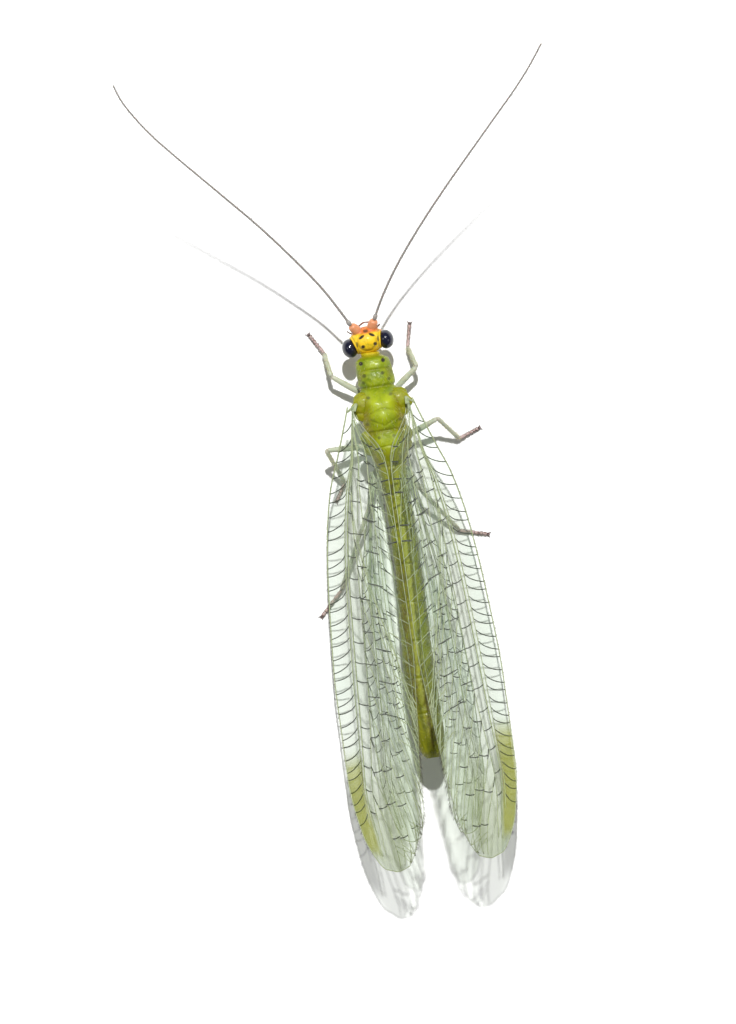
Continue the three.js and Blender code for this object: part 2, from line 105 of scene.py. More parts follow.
class Build:
    """Gathers points, faces, per-point values and material numbers for one object."""

    def __init__(self):
        self.v, self.f, self.m, self.n = [], [], [], 0
        self.attr = {}
        self.uv = []
        self.count = []

    def add(self, v, faces, mat=0, attrs=None, uv=None):
        v = np.asarray(v, float).reshape(-1, 3)
        volume = 0.0                     # faces are turned to point out
        for f in faces:
            q = v[np.asarray(f)]
            for k in range(1, q.shape[1] - 1):
                volume += np.einsum("ij,ij->i", q[:, 0], np.cross(q[:, k], q[:, k + 1])).sum()
        if volume < 0:
            faces = [np.asarray(f)[:, ::-1] for f in faces]
        for f in faces:
            f = np.asarray(f) + self.n
            self.f.extend(f.tolist())
            self.m.append(np.full(len(f), mat))
        for key in set(self.attr) | set(attrs or {}):
            have = self.attr.setdefault(key, [np.zeros(self.n)] if self.n else [])
            have.append(np.broadcast_to(np.asarray((attrs or {}).get(key, 0.0), float), (len(v),)))
        self.uv.append(np.zeros((len(v), 2)) if uv is None else uv)
        self.v.append(v)
        self.n += len(v)

    def tube(self, points, radii, sides=8, mat=0, attrs=None, squash=None, caps=True, uv=None):
        p = np.asarray(points, float)
        r = np.broadcast_to(np.asarray(radii, float), (len(p),))
        t = np.gradient(p, axis=0)
        t /= np.linalg.norm(t, axis=1)[:, None] + 1e-12
        n = np.cross([0.03, 0.02, 1.0], t[0])
        if np.linalg.norm(n) < 0.1:
            n = np.cross([1.0, 0.1, 0.0], t[0])
        rings = []
        ang = np.arange(sides) * 2 * PI / sides
        for i in range(len(p)):
            n = n - t[i] * np.dot(n, t[i])
            n /= np.linalg.norm(n) + 1e-12
            b = np.cross(t[i], n)
            rings.append(p[i] + r[i] * (np.cos(ang)[:, None] * n + np.sin(ang)[:, None] * b))
        v = np.concatenate(rings)
        faces = [grid_faces(len(p), sides)]
        if caps:
            v = np.vstack([v, p[0], p[-1]])
            k = np.arange(sides)
            c0, c1 = len(v) - 2, len(v) - 1
            last = (len(p) - 1) * sides
            faces.append(np.stack([np.full(sides, c0), (k + 1) % sides, k], axis=-1))
            faces.append(np.stack([np.full(sides, c1), last + k, last + (k + 1) % sides], axis=-1))
        self.add(v, faces, mat, attrs, uv)

    def ball(self, centre, axes, around=24, up=16, mat=0, attrs=None, shape=None):
        """An ellipsoid; axes is a 3x3 of half-axis vectors, shape moves unit points first."""
        th = np.linspace(0, PI, up + 1)[1:-1]
        ph = np.arange(around) * 2 * PI / around
        T, P = np.meshgrid(th, ph, indexing="ij")
        unit = np.stack([np.sin(T) * np.cos(P), np.sin(T) * np.sin(P), np.cos(T)], axis=-1).reshape(-1, 3)
        unit = np.vstack([unit, [0, 0, 1], [0, 0, -1]])
        q = shape(unit) if shape else unit
        v = q @ np.asarray(axes, float) + np.asarray(centre, float)
        k = np.arange(around)
        nn = len(unit)
        last = (up - 2) * around
        faces = [
            grid_faces(up - 1, around)[:, ::-1],
            np.stack([np.full(around, nn - 2), (k + 1) % around, k], axis=-1)[:, [0, 2, 1]],
            np.stack([np.full(around, nn - 1), last + (k + 1) % around, last + k], axis=-1)[:, [0, 2, 1]],
        ]
        self.add(v, faces, mat, attrs(q) if callable(attrs) else attrs)

    def hairs(self, root, direction, length, radius, bend, mat=0, uv=None, attrs=None):
        """Tapered three-sided hairs, each bowed toward its bend vector."""
        root, direction, bend = (np.asarray(x, float).reshape(-1, 3) for x in (root, direction, bend))
        n = len(root)
        if n == 0:
            return
        length = np.broadcast_to(np.asarray(length, float), (n,))
        radius = np.broadcast_to(np.asarray(radius, float), (n,))
        d = direction / (np.linalg.norm(direction, axis=1)[:, None] + 1e-12)
        side = np.cross(d, [0.31, 0.55, 0.77])
        side /= np.linalg.norm(side, axis=1)[:, None] + 1e-12
        other = np.cross(d, side)
        out = []
        for share, thick in ((0.0, 1.0), (0.55, 0.7)):
            c = root + d * (length * share)[:, None] + bend * (length * share ** 2)[:, None]
            for k in range(3):
                a = 2 * PI * k / 3
                out.append(c + (radius * thick)[:, None] * (math.cos(a) * side + math.sin(a) * other))
        out.append(root + d * length[:, None] + bend * length[:, None])
        v = np.stack(out, axis=1).reshape(-1, 3)
        base = (np.arange(n) * 7)[:, None]
        quads = np.concatenate([base + [k, (k + 1) % 3, 3 + (k + 1) % 3, 3 + k] for k in range(3)])
        tris = np.concatenate([base + [3 + k, 3 + (k + 1) % 3, 6] for k in range(3)] + [base + [2, 1, 0]])
        if uv is not None:
            spot = np.array([[0, 0], [1, 0], [0.5, 0.8], [0.1, 0.4], [0.9, 0.4], [0.5, 0.9], [0.5, 1.0]]) * 0.003
            uv = (uv[:, None, :] + spot[None]).reshape(-1, 2)
        if attrs:
            attrs = {k: np.repeat(np.broadcast_to(a, (n,)), 7) for k, a in attrs.items()}
        self.add(v, [quads, tris], mat, attrs, uv)

    def make(self, name, mats, slot, replaces=(), coat=False, smooth_shade=True):
        v = np.concatenate(self.v) * MM
        me = bpy.data.meshes.new(name)
        me.from_pydata(v.tolist(), [], self.f)
        me.polygons.foreach_set("use_smooth", np.full(len(me.polygons), smooth_shade))
        me.polygons.foreach_set("material_index", np.concatenate(self.m).astype(np.int32))
        for key, parts in self.attr.items():
            a = me.attributes.new(key, "FLOAT", "POINT")
            a.data.foreach_set("value", np.concatenate(parts).astype(np.float32))
        if coat:
            layer = me.uv_layers.new(name="OFBake")
            idx = np.empty(len(me.loops), np.int32)
            me.loops.foreach_get("vertex_index", idx)
            layer.data.foreach_set("uv", np.clip(np.concatenate(self.uv), 0, 1)[idx].astype(np.float32).ravel())
        for m in mats:
            me.materials.append(m)
        o = bpy.data.objects.new(name, me)
        bpy.context.scene.collection.objects.link(o)
        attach(o, "root")
        if replaces:
            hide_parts(*replaces)
        return o


# ----------------------------------------------------------------- materials
def material(name):
    m = bpy.data.materials.new(name)
    m.use_nodes = True
    nt = m.node_tree
    nt.nodes.clear()
    out = nt.nodes.new("ShaderNodeOutputMaterial")
    bsdf = nt.nodes.new("ShaderNodeBsdfPrincipled")
    nt.links.new(bsdf.outputs[0], out.inputs[0])
    return m, nt, bsdf, out


class Nodes:
    """Short names for the node types used here; coordinates are in millimetres."""

    def __init__(self, nt):
        self.nt = nt
        tc = nt.nodes.new("ShaderNodeTexCoord")
        mp = nt.nodes.new("ShaderNodeMapping")
        mp.inputs["Scale"].default_value = (1000, 1000, 1000)
        nt.links.new(tc.outputs["Object"], mp.inputs[0])
        self.co = mp.outputs[0]

    def link(self, a, b):
        self.nt.links.new(a, b)

    def stretched(self, scale):
        mp = self.nt.nodes.new("ShaderNodeMapping")
        mp.inputs["Scale"].default_value = scale
        self.link(self.co, mp.inputs[0])
        return mp.outputs[0]

    def noise(self, scale, detail=3, rough=0.55, co=None, distort=0.0):
        n = self.nt.nodes.new("ShaderNodeTexNoise")
        n.inputs["Scale"].default_value = scale
        n.inputs["Detail"].default_value = detail
        n.inputs["Roughness"].default_value = rough
        n.inputs["Distortion"].default_value = distort
        self.link(co or self.co, n.inputs["Vector"])
        return n.outputs["Fac"]

    def cells(self, scale, feature="F1", co=None, out="Distance"):
        n = self.nt.nodes.new("ShaderNodeTexVoronoi")
        n.feature = feature
        n.inputs["Scale"].default_value = scale
        self.link(co or self.co, n.inputs["Vector"])
        return n.outputs[out]

    def wave(self, scale, distort, co=None):
        n = self.nt.nodes.new("ShaderNodeTexWave")
        n.bands_direction = "Y"
        n.inputs["Scale"].default_value = scale
        n.inputs["Distortion"].default_value = distort
        self.link(co or self.co, n.inputs["Vector"])
        return n.outputs["Fac"]

    def attr(self, name):
        n = self.nt.nodes.new("ShaderNodeAttribute")
        n.attribute_name = name
        return n.outputs["Fac"]

    def ramp(self, x, low, high, a=0.0, b=1.0):
        n = self.nt.nodes.new("ShaderNodeMapRange")
        n.interpolation_type = "SMOOTHSTEP"
        self.link(x, n.inputs[0])
        for i, v in zip((1, 2, 3, 4), (low, high, a, b)):
            n.inputs[i].default_value = v
        return n.outputs[0]

    def math(self, op, a, b):
        n = self.nt.nodes.new("ShaderNodeMath")
        n.operation = op
        for i, x in enumerate((a, b)):
            if isinstance(x, (int, float)):
                n.inputs[i].default_value = x
            else:
                self.link(x, n.inputs[i])
        return n.outputs[0]

    def mix(self, fac, a, b, blend="MIX"):
        n = self.nt.nodes.new("ShaderNodeMix")
        n.data_type = "RGBA"
        n.blend_type = blend
        n.clamp_factor = True
        for i, x in ((0, fac), (6, a), (7, b)):
            if isinstance(x, (int, float)):
                n.inputs[i].default_value = x
            elif isinstance(x, tuple):
                n.inputs[i].default_value = (*x, 1.0)
            else:
                self.link(x, n.inputs[i])
        return n.outputs[2]

    def bump(self, height, distance, strength=1.0, normal=None):
        n = self.nt.nodes.new("ShaderNodeBump")
        n.inputs["Strength"].default_value = strength
        n.inputs["Distance"].default_value = distance * MM
        self.link(height, n.inputs["Height"])
        if normal is not None:
            self.link(normal, n.inputs["Normal"])
        return n.outputs[0]


def skin_material():
    m, nt, b, _ = material("cuticle_skin")
    n = Nodes(nt)
    patch = n.noise(3.2, 4, 0.6)
    fine = n.noise(22, 4, 0.6)
    streak = n.noise(5.0, 3, 0.6, n.stretched((2.2, 0.5, 2.2)))
    green = n.mix(n.ramp(patch, 0.3, 0.7), (0.118, 0.175, 0.0006), (0.228, 0.280, 0.002))
    green = n.mix(n.ramp(n.noise(8, 4, 0.65, distort=0.6), 0.52, 0.78, 0, 0.6), green, (0.105, 0.125, 0.001))
    olive = n.mix(n.ramp(streak, 0.35, 0.7), (0.130, 0.150, 0.001), (0.235, 0.240, 0.003))
    c = n.mix(n.attr("green"), olive, green)
    c = n.mix(n.attr("lobe"), c, (0.325, 0.385, 0.006))
    c = n.mix(n.attr("yellow"), c, n.mix(patch, (0.70, 0.40, 0.008), (0.84, 0.56, 0.020)))
    c = n.mix(n.attr("stripe"), c, (0.330, 0.350, 0.02))
    c = n.mix(n.math("MULTIPLY", n.attr("tan"), n.ramp(n.noise(5.5, 4, 0.65), 0.30, 0.62, 0.35, 1.0)), c, (0.215, 0.180, 0.002))
    c = n.mix(n.math("MULTIPLY", n.attr("brown"), n.ramp(n.noise(7, 4, 0.7), 0.32, 0.6)), c, (0.13, 0.085, 0.006))
    c = n.mix(n.attr("orange"), c, (0.56, 0.115, 0.022))
    c = n.mix(n.ramp(n.noise(4.2, 3, 0.6, distort=1.2), 0.52, 0.72, 0, 0.50), c, (0.290, 0.310, 0.006))
    c = n.mix(n.attr("groove"), c, (0.15, 0.17, 0.004))
    c = n.mix(n.ramp(fine, 0.55, 0.85, 0, 0.35), c, (0.10, 0.12, 0.003))
    c = n.mix(n.attr("dark"), c, (0.018, 0.014, 0.008))
    n.link(c, b.inputs["Base Color"])
    n.link(n.ramp(fine, 0.2, 0.8, 0.32, 0.54), b.inputs["Roughness"])
    cells = n.cells(26, "DISTANCE_TO_EDGE")
    h = n.math("ADD", n.math("MULTIPLY", n.ramp(cells, 0.0, 0.25), 0.35), n.math("MULTIPLY", fine, 0.8))
    swell = n.bump(n.noise(6.5, 3, 0.55, distort=0.8), 0.04, 0.40)
    n.link(n.bump(h, 0.012, 0.55, swell), b.inputs["Normal"])
    b.inputs["Subsurface Weight"].default_value = 0.18
    b.inputs["Subsurface Radius"].default_value = (0.8, 0.9, 0.2)
    b.inputs["Subsurface Scale"].default_value = 0.00015
    b.inputs["Specular IOR Level"].default_value = 0.26
    b.inputs["Coat Weight"].default_value = 0.07
    b.inputs["Coat Roughness"].default_value = 0.18
    return m


def eye_material():
    m, nt, b, _ = material("eye_facets")
    n = Nodes(nt)
    # the teal and pale rim colours are painted sheen, brightest toward the eye's outline
    rim = n.attr("rim")
    c = n.mix(n.ramp(rim, 0.15, 0.60), (0.003, 0.004, 0.024), (0.002, 0.0025, 0.004))
    c = n.mix(n.ramp(rim, 0.45, 1.0), c, (0.006, 0.036, 0.054))
    c = n.mix(n.ramp(rim, 0.78, 1.0, 0, 0.5), c, (0.022, 0.060, 0.082))
    c = n.mix(n.ramp(n.noise(9, 3), 0.45, 0.75, 0, 0.5), c, (0.002, 0.006, 0.012))
    n.link(c, b.inputs["Base Color"])
    cell = n.cells(34, "F1")
    n.link(n.ramp(cell, 0.0, 0.6, 0.08, 0.20), b.inputs["Roughness"])
    n.link(n.bump(n.ramp(cell, 0.15, 0.75, 1, 0), 0.004, 0.4), b.inputs["Normal"])
    b.inputs["Coat Weight"].default_value = 0.35
    b.inputs["Coat Roughness"].default_value = 0.05
    b.inputs["Specular IOR Level"].default_value = 0.35
    return m


def limb_material(name, low, high, dark, rough=0.42, band=0.0):
    """Cuticle of legs, feelers and mouthparts: mottled, ringed and finely pitted."""
    m, nt, b, _ = material(name)
    n = Nodes(nt)
    c = n.mix(n.noise(6, 4, 0.6), low, high)
    c = n.mix(n.attr("tip"), c, dark)
    c = n.mix(n.ramp(n.noise(40, 3), 0.5, 0.8, 0, 0.4), c, dark)
    n.link(c, b.inputs["Base Color"])
    n.link(n.ramp(n.noise(30, 3), 0.3, 0.7, rough - 0.1, rough + 0.12), b.inputs["Roughness"])
    n.link(n.bump(n.noise(60, 3), 0.004, 0.6), b.inputs["Normal"])
    b.inputs["Subsurface Weight"].default_value = 0.12
    b.inputs["Subsurface Scale"].default_value = 0.0001
    b.inputs["Coat Weight"].default_value = 0.15
    return m


def membrane_material():
    m, nt, b, out = material("wing_membrane")
    n = Nodes(nt)
    stig = n.attr("stigma")
    far = n.attr("far")
    tint = n.mix(n.noise(1.4, 3), (0.190, 0.260, 0.175), (0.330, 0.395, 0.320))
    rainbow = n.mix(n.ramp(n.noise(0.9, 2, co=n.stretched((1, 0.4, 1))), 0.35, 0.65), (0.200, 0.360, 0.260), (0.380, 0.290, 0.360))
    c = n.mix(0.30, tint, rainbow)
    c = n.mix(far, c, (0.245, 0.305, 0.110))
    c = n.mix(stig, c, n.mix(n.noise(4, 3), (0.205, 0.228, 0.009), (0.325, 0.340, 0.032)))
    n.link(c, b.inputs["Base Color"])
    n.link(n.ramp(n.noise(8, 3), 0.3, 0.7, 0.16, 0.32), b.inputs["Roughness"])
    wrinkle = n.math("ADD", n.noise(2.6, 4, 0.6), n.math("MULTIPLY", n.noise(14, 3), 0.3))
    n.link(n.bump(wrinkle, 0.05, 0.5), b.inputs["Normal"])
    b.inputs["Coat Weight"].default_value = 0.4
    b.inputs["Coat Roughness"].default_value = 0.12
    b.inputs["Thin Film Thickness"].default_value = 380
    b.inputs["Thin Film IOR"].default_value = 1.5
    clear = nt.nodes.new("ShaderNodeBsdfTransparent")
    clear.inputs[0].default_value = (0.975, 0.99, 0.97, 1)
    blend = nt.nodes.new("ShaderNodeMixShader")
    cover = n.mix(n.noise(3.0, 3), (0.085,) * 3, (0.140,) * 3)
    cover = n.mix(far, cover, (0.29,) * 3)
    cover = n.mix(n.attr("thin"), cover, (0.022,) * 3)
    cover = n.mix(stig, cover, (0.52,) * 3)
    n.link(cover, blend.inputs[0])
    nt.links.new(clear.outputs[0], blend.inputs[1])
    nt.links.new(b.outputs[0], blend.inputs[2])
    nt.links.new(blend.outputs[0], out.inputs[0])
    return m


def vein_material(name, low, high, dark):
    m, nt, b, _ = material(name)
    n = Nodes(nt)
    c = n.mix(n.noise(5, 4, 0.6), low, high)
    c = n.mix(n.attr("tip"), c, dark)
    n.link(c, b.inputs["Base Color"])
    n.link(n.ramp(n.noise(25, 3), 0.3, 0.7, 0.35, 0.55), b.inputs["Roughness"])
    n.link(n.bump(n.noise(45, 3), 0.004, 0.5), b.inputs["Normal"])
    return m


def hair_material(name, low, high):
    m, nt, b, _ = material(name)
    n = Nodes(nt)
    n.link(n.mix(n.noise(4, 2), low, high), b.inputs["Base Color"])
    n.link(n.ramp(n.noise(20, 2), 0.3, 0.7, 0.35, 0.6), b.inputs["Roughness"])
    return m


SKIN = skin_material()
EYES = eye_material()
FEELER_MAT = limb_material("feeler_cuticle", (0.200, 0.185, 0.170), (0.330, 0.305, 0.280), (0.09, 0.08, 0.07), 0.5)
SCAPE_MAT = limb_material("scape_cuticle", (0.47, 0.160, 0.065), (0.64, 0.290, 0.140), (0.12, 0.05, 0.03))
LEG_MAT = limb_material("leg_cuticle", (0.31, 0.345, 0.24), (0.47, 0.495, 0.38), (0.22, 0.17, 0.14))
FOOT_MAT = limb_material("foot_cuticle", (0.34, 0.240, 0.220), (0.48, 0.36, 0.33), (0.075, 0.045, 0.04), 0.5)
PALP_MAT = limb_material("palp_cuticle", (0.12, 0.045, 0.03), (0.26, 0.10, 0.06), (0.02, 0.012, 0.01))
MEMBRANE = membrane_material()
VEIN_GREEN = vein_material("vein_green", (0.205, 0.245, 0.115), (0.340, 0.385, 0.230), (0.03, 0.035, 0.02))
VEIN_DARK = vein_material("vein_dark", (0.016, 0.022, 0.012), (0.045, 0.055, 0.035), (0.01, 0.012, 0.008))
HAIR_PALE = hair_material("hair_pale", (0.35, 0.36, 0.16), (0.55, 0.52, 0.30))
HAIR_DARK = hair_material("hair_dark", (0.035, 0.030, 0.022), (0.09, 0.075, 0.05))

# ---------------------------------------------------------------- body tables
BODY = [
    [0.90, 0.30, 1.12, 1.78, -0.09],
    [1.04, 0.40, 1.04, 1.94, -0.06],
    [1.22, 0.56, 1.00, 2.11, -0.04],
    [1.60, 0.61, 0.98, 2.19, -0.02],
    [1.92, 0.62, 1.00, 2.21, 0.00],
    [2.10, 0.61, 1.04, 2.20, 0.00],
    [2.34, 0.67, 1.00, 2.41, 0.03],
    [2.70, 0.72, 0.92, 2.61, 0.05],
    [3.10, 0.73, 0.88, 2.65, 0.06],
    [3.56, 0.72, 0.88, 2.57, 0.06],
    [3.95, 0.69, 0.90, 2.53, 0.07],
    [4.35, 0.63, 0.94, 2.45, 0.08],
    [4.79, 0.51, 1.08, 2.30, 0.09],
    [6.20, 0.44, 1.30, 2.19, 0.13],
    [8.00, 0.45, 1.32, 2.21, 0.12],
    [10.0, 0.49, 1.36, 2.29, 0.04],
    [12.0, 0.53, 1.42, 2.41, -0.05],
    [13.6, 0.52, 1.48, 2.45, -0.04],
    [14.40, 0.41, 1.56, 2.35, -0.01],
    [14.66, 0.24, 1.70, 2.17, 0.00],
]
CUTS = [4.82, 5.75, 6.85, 8.10, 9.40, 10.70, 11.95, 13.15]
LOBES = [
    [2.62, 0.30, 0.26, 0.26, 0.11],
    [3.02, 0.44, 0.22, 0.22, 0.07],
    [3.12, 0.00, 0.26, 0.24, 0.09],
    [3.98, 0.32, 0.26, 0.24, 0.09],
    [4.26, 0.00, 0.20, 0.22, 0.06],
    [1.30, 0.26, 0.16, 0.22, 0.04],
    [1.78, 0.30, 0.16, 0.22, 0.04],
]


def lobes(a, s):
    h = np.zeros_like(s)
    for la, ls, ra, rs, up in LOBES:
        for side in (1,) if ls == 0 else (1, -1):
            h = h + up * np.exp(-(((a - la) / ra) ** 2) - (((s - side * ls) / rs) ** 2))
    return h


def body_ring(a, ang):
    """Points of the trunk skin around one place, with the marks that lie on it."""
    half, low, high, shift = (row(BODY, a, k) for k in (1, 2, 3, 4))
    c, s = np.cos(ang), np.sin(ang)
    thorax = smooth((a - 2.05) / 0.15) * smooth((4.9 - a) / 0.4)
    keel = 1.05 + 0.45 * thorax
    middle = mix(low, high, 0.55)
    up = np.where(s >= 0, high - middle, middle - low)
    across = np.sign(c) * np.abs(c) ** np.where(s >= 0, 0.92, keel) * half
    z = np.sign(s) * np.abs(s) ** 0.96 * up
    d = np.zeros_like(c)            # outward relief
    top = np.clip(s, 0, 1)
    groove = np.zeros_like(c)
    for at, deep, wide in ((2.10, 0.045, 0.060), (3.59, 0.035, 0.045), (4.80, 0.030, 0.05), (1.02, 0.05, 0.06)):
        g = bell(a - at, wide)
        d -= deep * g
        groove += 0.55 * g
    for at in CUTS[1:]:
        bow = at + 0.03 * (1 - top)
        d -= 0.022 * bell(a - bow, 0.030)
        d += 0.010 * bell(a - bow + 0.09, 0.06)
        groove += 0.40 * bell(a - bow, 0.028)
    if a > 4.9:                      # pleural fold and fine rings of the abdomen
        side = bell(s + 0.12, 0.10)
        d -= 0.020 * side * (1 + 0.5 * math.sin(a * 24))
        d += 0.0035 * math.sin(a * 46) * (1 - top)
        groove += 0.45 * side
        d += 0.008 * math.cos((a - 5.2) * 5.1)
    if a < 2.1:                      # pronotum: cross furrow and a rim in front
        d -= 0.035 * bell(a - 1.52, 0.05) * top ** 0.6
        d += 0.020 * bell(a - 1.16, 0.05)
        d -= 0.018 * bell(across, 0.03) * smooth((a - 1.2) / 0.2) * top
        groove += 0.45 * bell(a - 1.52, 0.045) * top
    if 2.1 < a < 4.8:                # sutures between the plates of the back
        mid = bell(across, 0.028) * smooth((2.95 - a) / 0.15)
        d -= 0.022 * mid * top
        v1 = bell(a - (2.84 + 0.30 * np.abs(across)), 0.035) * top ** 2
        v2 = bell(a - (3.44 - 0.55 * np.abs(across)), 0.035) * top ** 2 * (np.abs(across) < 0.5)
        v3 = bell(a - (4.10 + 0.15 * np.abs(across)), 0.035) * top ** 2
        d -= 0.024 * v1 + 0.020 * v2 + 0.022 * v3
        groove += 0.32 * (mid + v1 + v2 + v3) * top
        pleura = bell(np.sin((a - 2.2) * 4.4 + s * 2.4), 0.16) * np.clip(1 - np.abs(s + 0.15) * 1.5, 0, 1)
        d -= 0.028 * pleura
        groove += 0.5 * pleura
        edge = bell(s - 0.42, 0.12)  # the raised edge above the wing roots
        d += 0.03 * edge
    # soft wrinkles of the drying cuticle, stronger on the thorax
    rough = 0.0045 if a < 4.8 else 0.004
    wob = np.sin(across * 11 + a * 7 + 1.3 * np.sin(a * 5 + across * 6)) + 0.6 * np.sin(across * 23 - a * 17 + 2 * np.sin(a * 9))
    d += rough * wob * np.clip(s + 0.5, 0, 1)
    z = z + lobes(a, across) * top
    k = 1 + d / np.maximum(0.2, np.hypot(across, z))
    x, zz = across * k, z * k
    marks = {
        "groove": np.clip(groove, 0, 0.65),
        "green": np.full_like(c, 1 - smooth((a - 4.2) / 0.9) * 0.92),
        "lobe": np.clip(lobes(a, across) * 9 * top - 0.12, 0, 0.75) * smooth((a - 2.1) / 0.2) + 0.55 * bell(a - 1.32, 0.12) * bell(across, 0.18) * top,
        "stripe": (bell(across + 0.02 - 0.03 * math.sin(a), 0.060) * top * smooth((a - 5.2) / 0.7) * smooth((13.4 - a) / 1.2)) * 0.40
        + 0.25 * bell(s + 0.12, 0.12) * smooth((a - 5) / 0.5),
        "brown": np.clip(
            0.85 * bell(across + 0.30, 0.16) * top * smooth((a - 7.5) / 1.0) * smooth((13.2 - a) / 1.2)
            + 0.5 * bell(a - 3.59, 0.10) * top
            + 0.5 * bell(np.abs(across) - 0.50, 0.14) * smooth((1.95 - a) / 0.2) * smooth((a - 1.4) / 0.2),
            0, 1),
        "tan": np.clip(
            0.95 * bell(np.abs(across) - 0.60, 0.20) * smooth((a - 2.2) / 0.25) * smooth((5.2 - a) / 0.5)
            + 0.5 * bell(a - 4.5, 0.35) * top + 0.45 * smooth((a - 10.5) / 2.5) * (1 - 0.4 * top), 0, 1),
        # painted shade: the whole abdomen is darkened evenly toward its end
        "dark": 0.16 * smooth((a - 10.8) / 2.0) * np.ones_like(c),
        "yellow": np.full_like(c, 0.55 * smooth((1.12 - a) / 0.15)),
    }
    for da, ds, size, depth in (
        (1.25, -0.43, 0.062, 1.0), (1.235, 0.32, 0.062, 1.0),
        (1.67, -0.38, 0.060, 0.65), (1.66, 0.24, 0.055, 0.65),
        (1.90, -0.44, 0.05, 0.5), (1.88, 0.42, 0.05, 0.5),
        (2.42, -0.36, 0.05, 0.55), (2.40, 0.40, 0.05, 0.55),
        (3.30, -0.52, 0.05, 0.5), (3.28, 0.60, 0.05, 0.5),
        (3.80, -0.20, 0.05, 0.55), (3.80, 0.30, 0.05, 0.55),
        (14.25, 0.0, 0.10, 0.25),
    ):
        r = np.hypot(a - da, shift + x - ds)
        marks["dark"] = np.maximum(marks["dark"], depth * smooth((size * 1.35 - r) / (size * 0.45)) * (s > 0))
    # the darker streak along the last lengths of the abdomen
    streak = bell(across - 0.13 + (a - 12) * 0.04, 0.07) * top * smooth((a - 12.0) / 0.8) * smooth((14.5 - a) / 0.3)
    marks["brown"] = np.clip(marks["brown"] + 0.8 * streak, 0, 1)
    marks["dark"] = np.maximum(marks["dark"], 0.35 * streak)
    return place(np.full_like(x, a), shift + x, middle + zz), marks


# ---------------------------------------------------------------------- skin
HEAD = dict(a=0.52, s=-0.11, z=1.43, turn=math.radians(6.2), wide=0.62, long=0.46, high=0.62)
EYE = dict(out=0.62, back=-0.10, up=0.08, x=0.27, y=0.33, z=0.38)


def head_place(x, y, z):
    s = HEAD["s"] + x * math.cos(HEAD["turn"]) - y * math.sin(HEAD["turn"])
    a = HEAD["a"] - (x * math.sin(HEAD["turn"]) + y * math.cos(HEAD["turn"]))
    return place(a, s, HEAD["z"] + z)


def head_shape(v):
    x0, y0, z0 = v[:, 0], v[:, 1], v[:, 2]
    down = np.maximum(0, -z0)
    narrow = 1 - 0.42 * smooth(np.minimum(1, down))
    front = np.where(y0 > 0, 1 + 0.10 * (1 - np.abs(z0)), 1 - 0.16 * z0 * z0)
    x = HEAD["wide"] * x0 * narrow
    y = HEAD["long"] * y0 * front * (1 - 0.25 * down * down) + 0.05 * down
    z = HEAD["high"] * np.where(z0 > 0, z0 * 0.92, z0 * 1.06)
    return x, y, z


def head_skin(build):
    marks = {}

    def shape(v):
        x, y, z = head_shape(v)
        d = np.zeros(len(x)) - 0.012
        # the raised vertex, ringed by a shallow groove; orbits; feeler sockets
        r = np.sqrt((x / 0.34) ** 2 + ((y + 0.02) / 0.34) ** 2)
        onTop = smooth((z - 0.25) / 0.2)
        d += 0.035 * smooth((1.0 - r) / 0.35) * onTop
        d -= 0.022 * bell(r - 1.02, 0.10) * onTop
        d -= 0.010 * bell(x, 0.022) * onTop * (y < 0.05)
        grooves = 0.25 * bell(r - 1.02, 0.10) * onTop + 0.15 * bell(x, 0.022) * onTop
        for side in (-1, 1):
            q = np.sqrt(((x - side * EYE["out"]) / EYE["x"]) ** 2 + ((y - EYE["back"]) / EYE["y"]) ** 2 + ((z - EYE["up"]) / EYE["z"]) ** 2)
            d += 0.030 * bell(q - 1.10, 0.07)
            d -= 0.050 * smooth((1.0 - q) / 0.3)
            grooves = np.maximum(grooves, 0.55 * bell(q - 1.28, 0.07))
        for sx, sy, sz in SOCKETS:
            q = np.sqrt((x - sx) ** 2 + (y - sy) ** 2 + (z - sz) ** 2)
            d += 0.035 * bell(q - 0.16, 0.035)
            d -= 0.030 * smooth((0.13 - q) / 0.05)
        # clypeus and frons seams on the face
        face = (y > 0.15) & (z < 0.1)
        d -= 0.018 * bell(z + 0.22 + 0.3 * x * x, 0.022) * face
        d -= 0.018 * bell(z + 0.42, 0.022) * face
        n = v / np.linalg.norm(v, axis=1)[:, None]
        px, py, pz = x + n[:, 0] * d, y + n[:, 1] * d, z + n[:, 2] * d
        p = head_place(px, py, pz)
        a = ORIGIN_A - p[:, 1]
        s = p[:, 0] + ORIGIN_S
        dark = np.zeros(len(x))
        up = z > 0.05
        for da, ds, ra, rs, turn, deep in (
            (0.375, -0.275, 0.050, 0.095, 0.45, 1.0), (0.340, 0.070, 0.050, 0.095, -0.45, 1.0),
            (0.70, -0.27, 0.055, 0.060, 0, 0.95), (0.656, 0.145, 0.055, 0.060, 0, 0.95),
            (0.185, -0.115, 0.050, 0.085, 0, 0.75), (0.83, -0.10, 0.03, 0.12, 0, 0.35),
            (0.60, -0.46, 0.09, 0.030, 0, 0.8), (0.50, 0.26, 0.09, 0.030, 0, 0.8),
        ):
            ca, cs = a - da, s - ds
            q = ((ca + turn * cs) / ra) ** 2 + (cs / rs) ** 2
            dark = np.maximum(dark, deep * smooth((1.5 - q) / 0.9) * up)
        cheek = bell(np.abs(x) - 0.30, 0.07) * bell(z + 0.25, 0.15) * (y > 0)
        marks.update(
            groove=np.clip(grooves, 0, 0.55), dark=np.clip(np.maximum(dark, 0.8 * cheek), 0, 1),
            yellow=np.full(len(x), 0.96), green=np.ones(len(x)),
            orange=np.clip(0.95 * smooth((0.31 - a) / 0.11) * (0.25 + 0.75 * smooth((z + 0.12) / 0.25)) + 0.4 * bell(np.hypot(x, y - 0.30), 0.14) * onTop, 0, 0.95),
        )
        return p

    n0 = build.n
    build.ball((0, 0, 0), np.eye(3), 150, 96, attrs=lambda q: marks, shape=shape)
    return n0


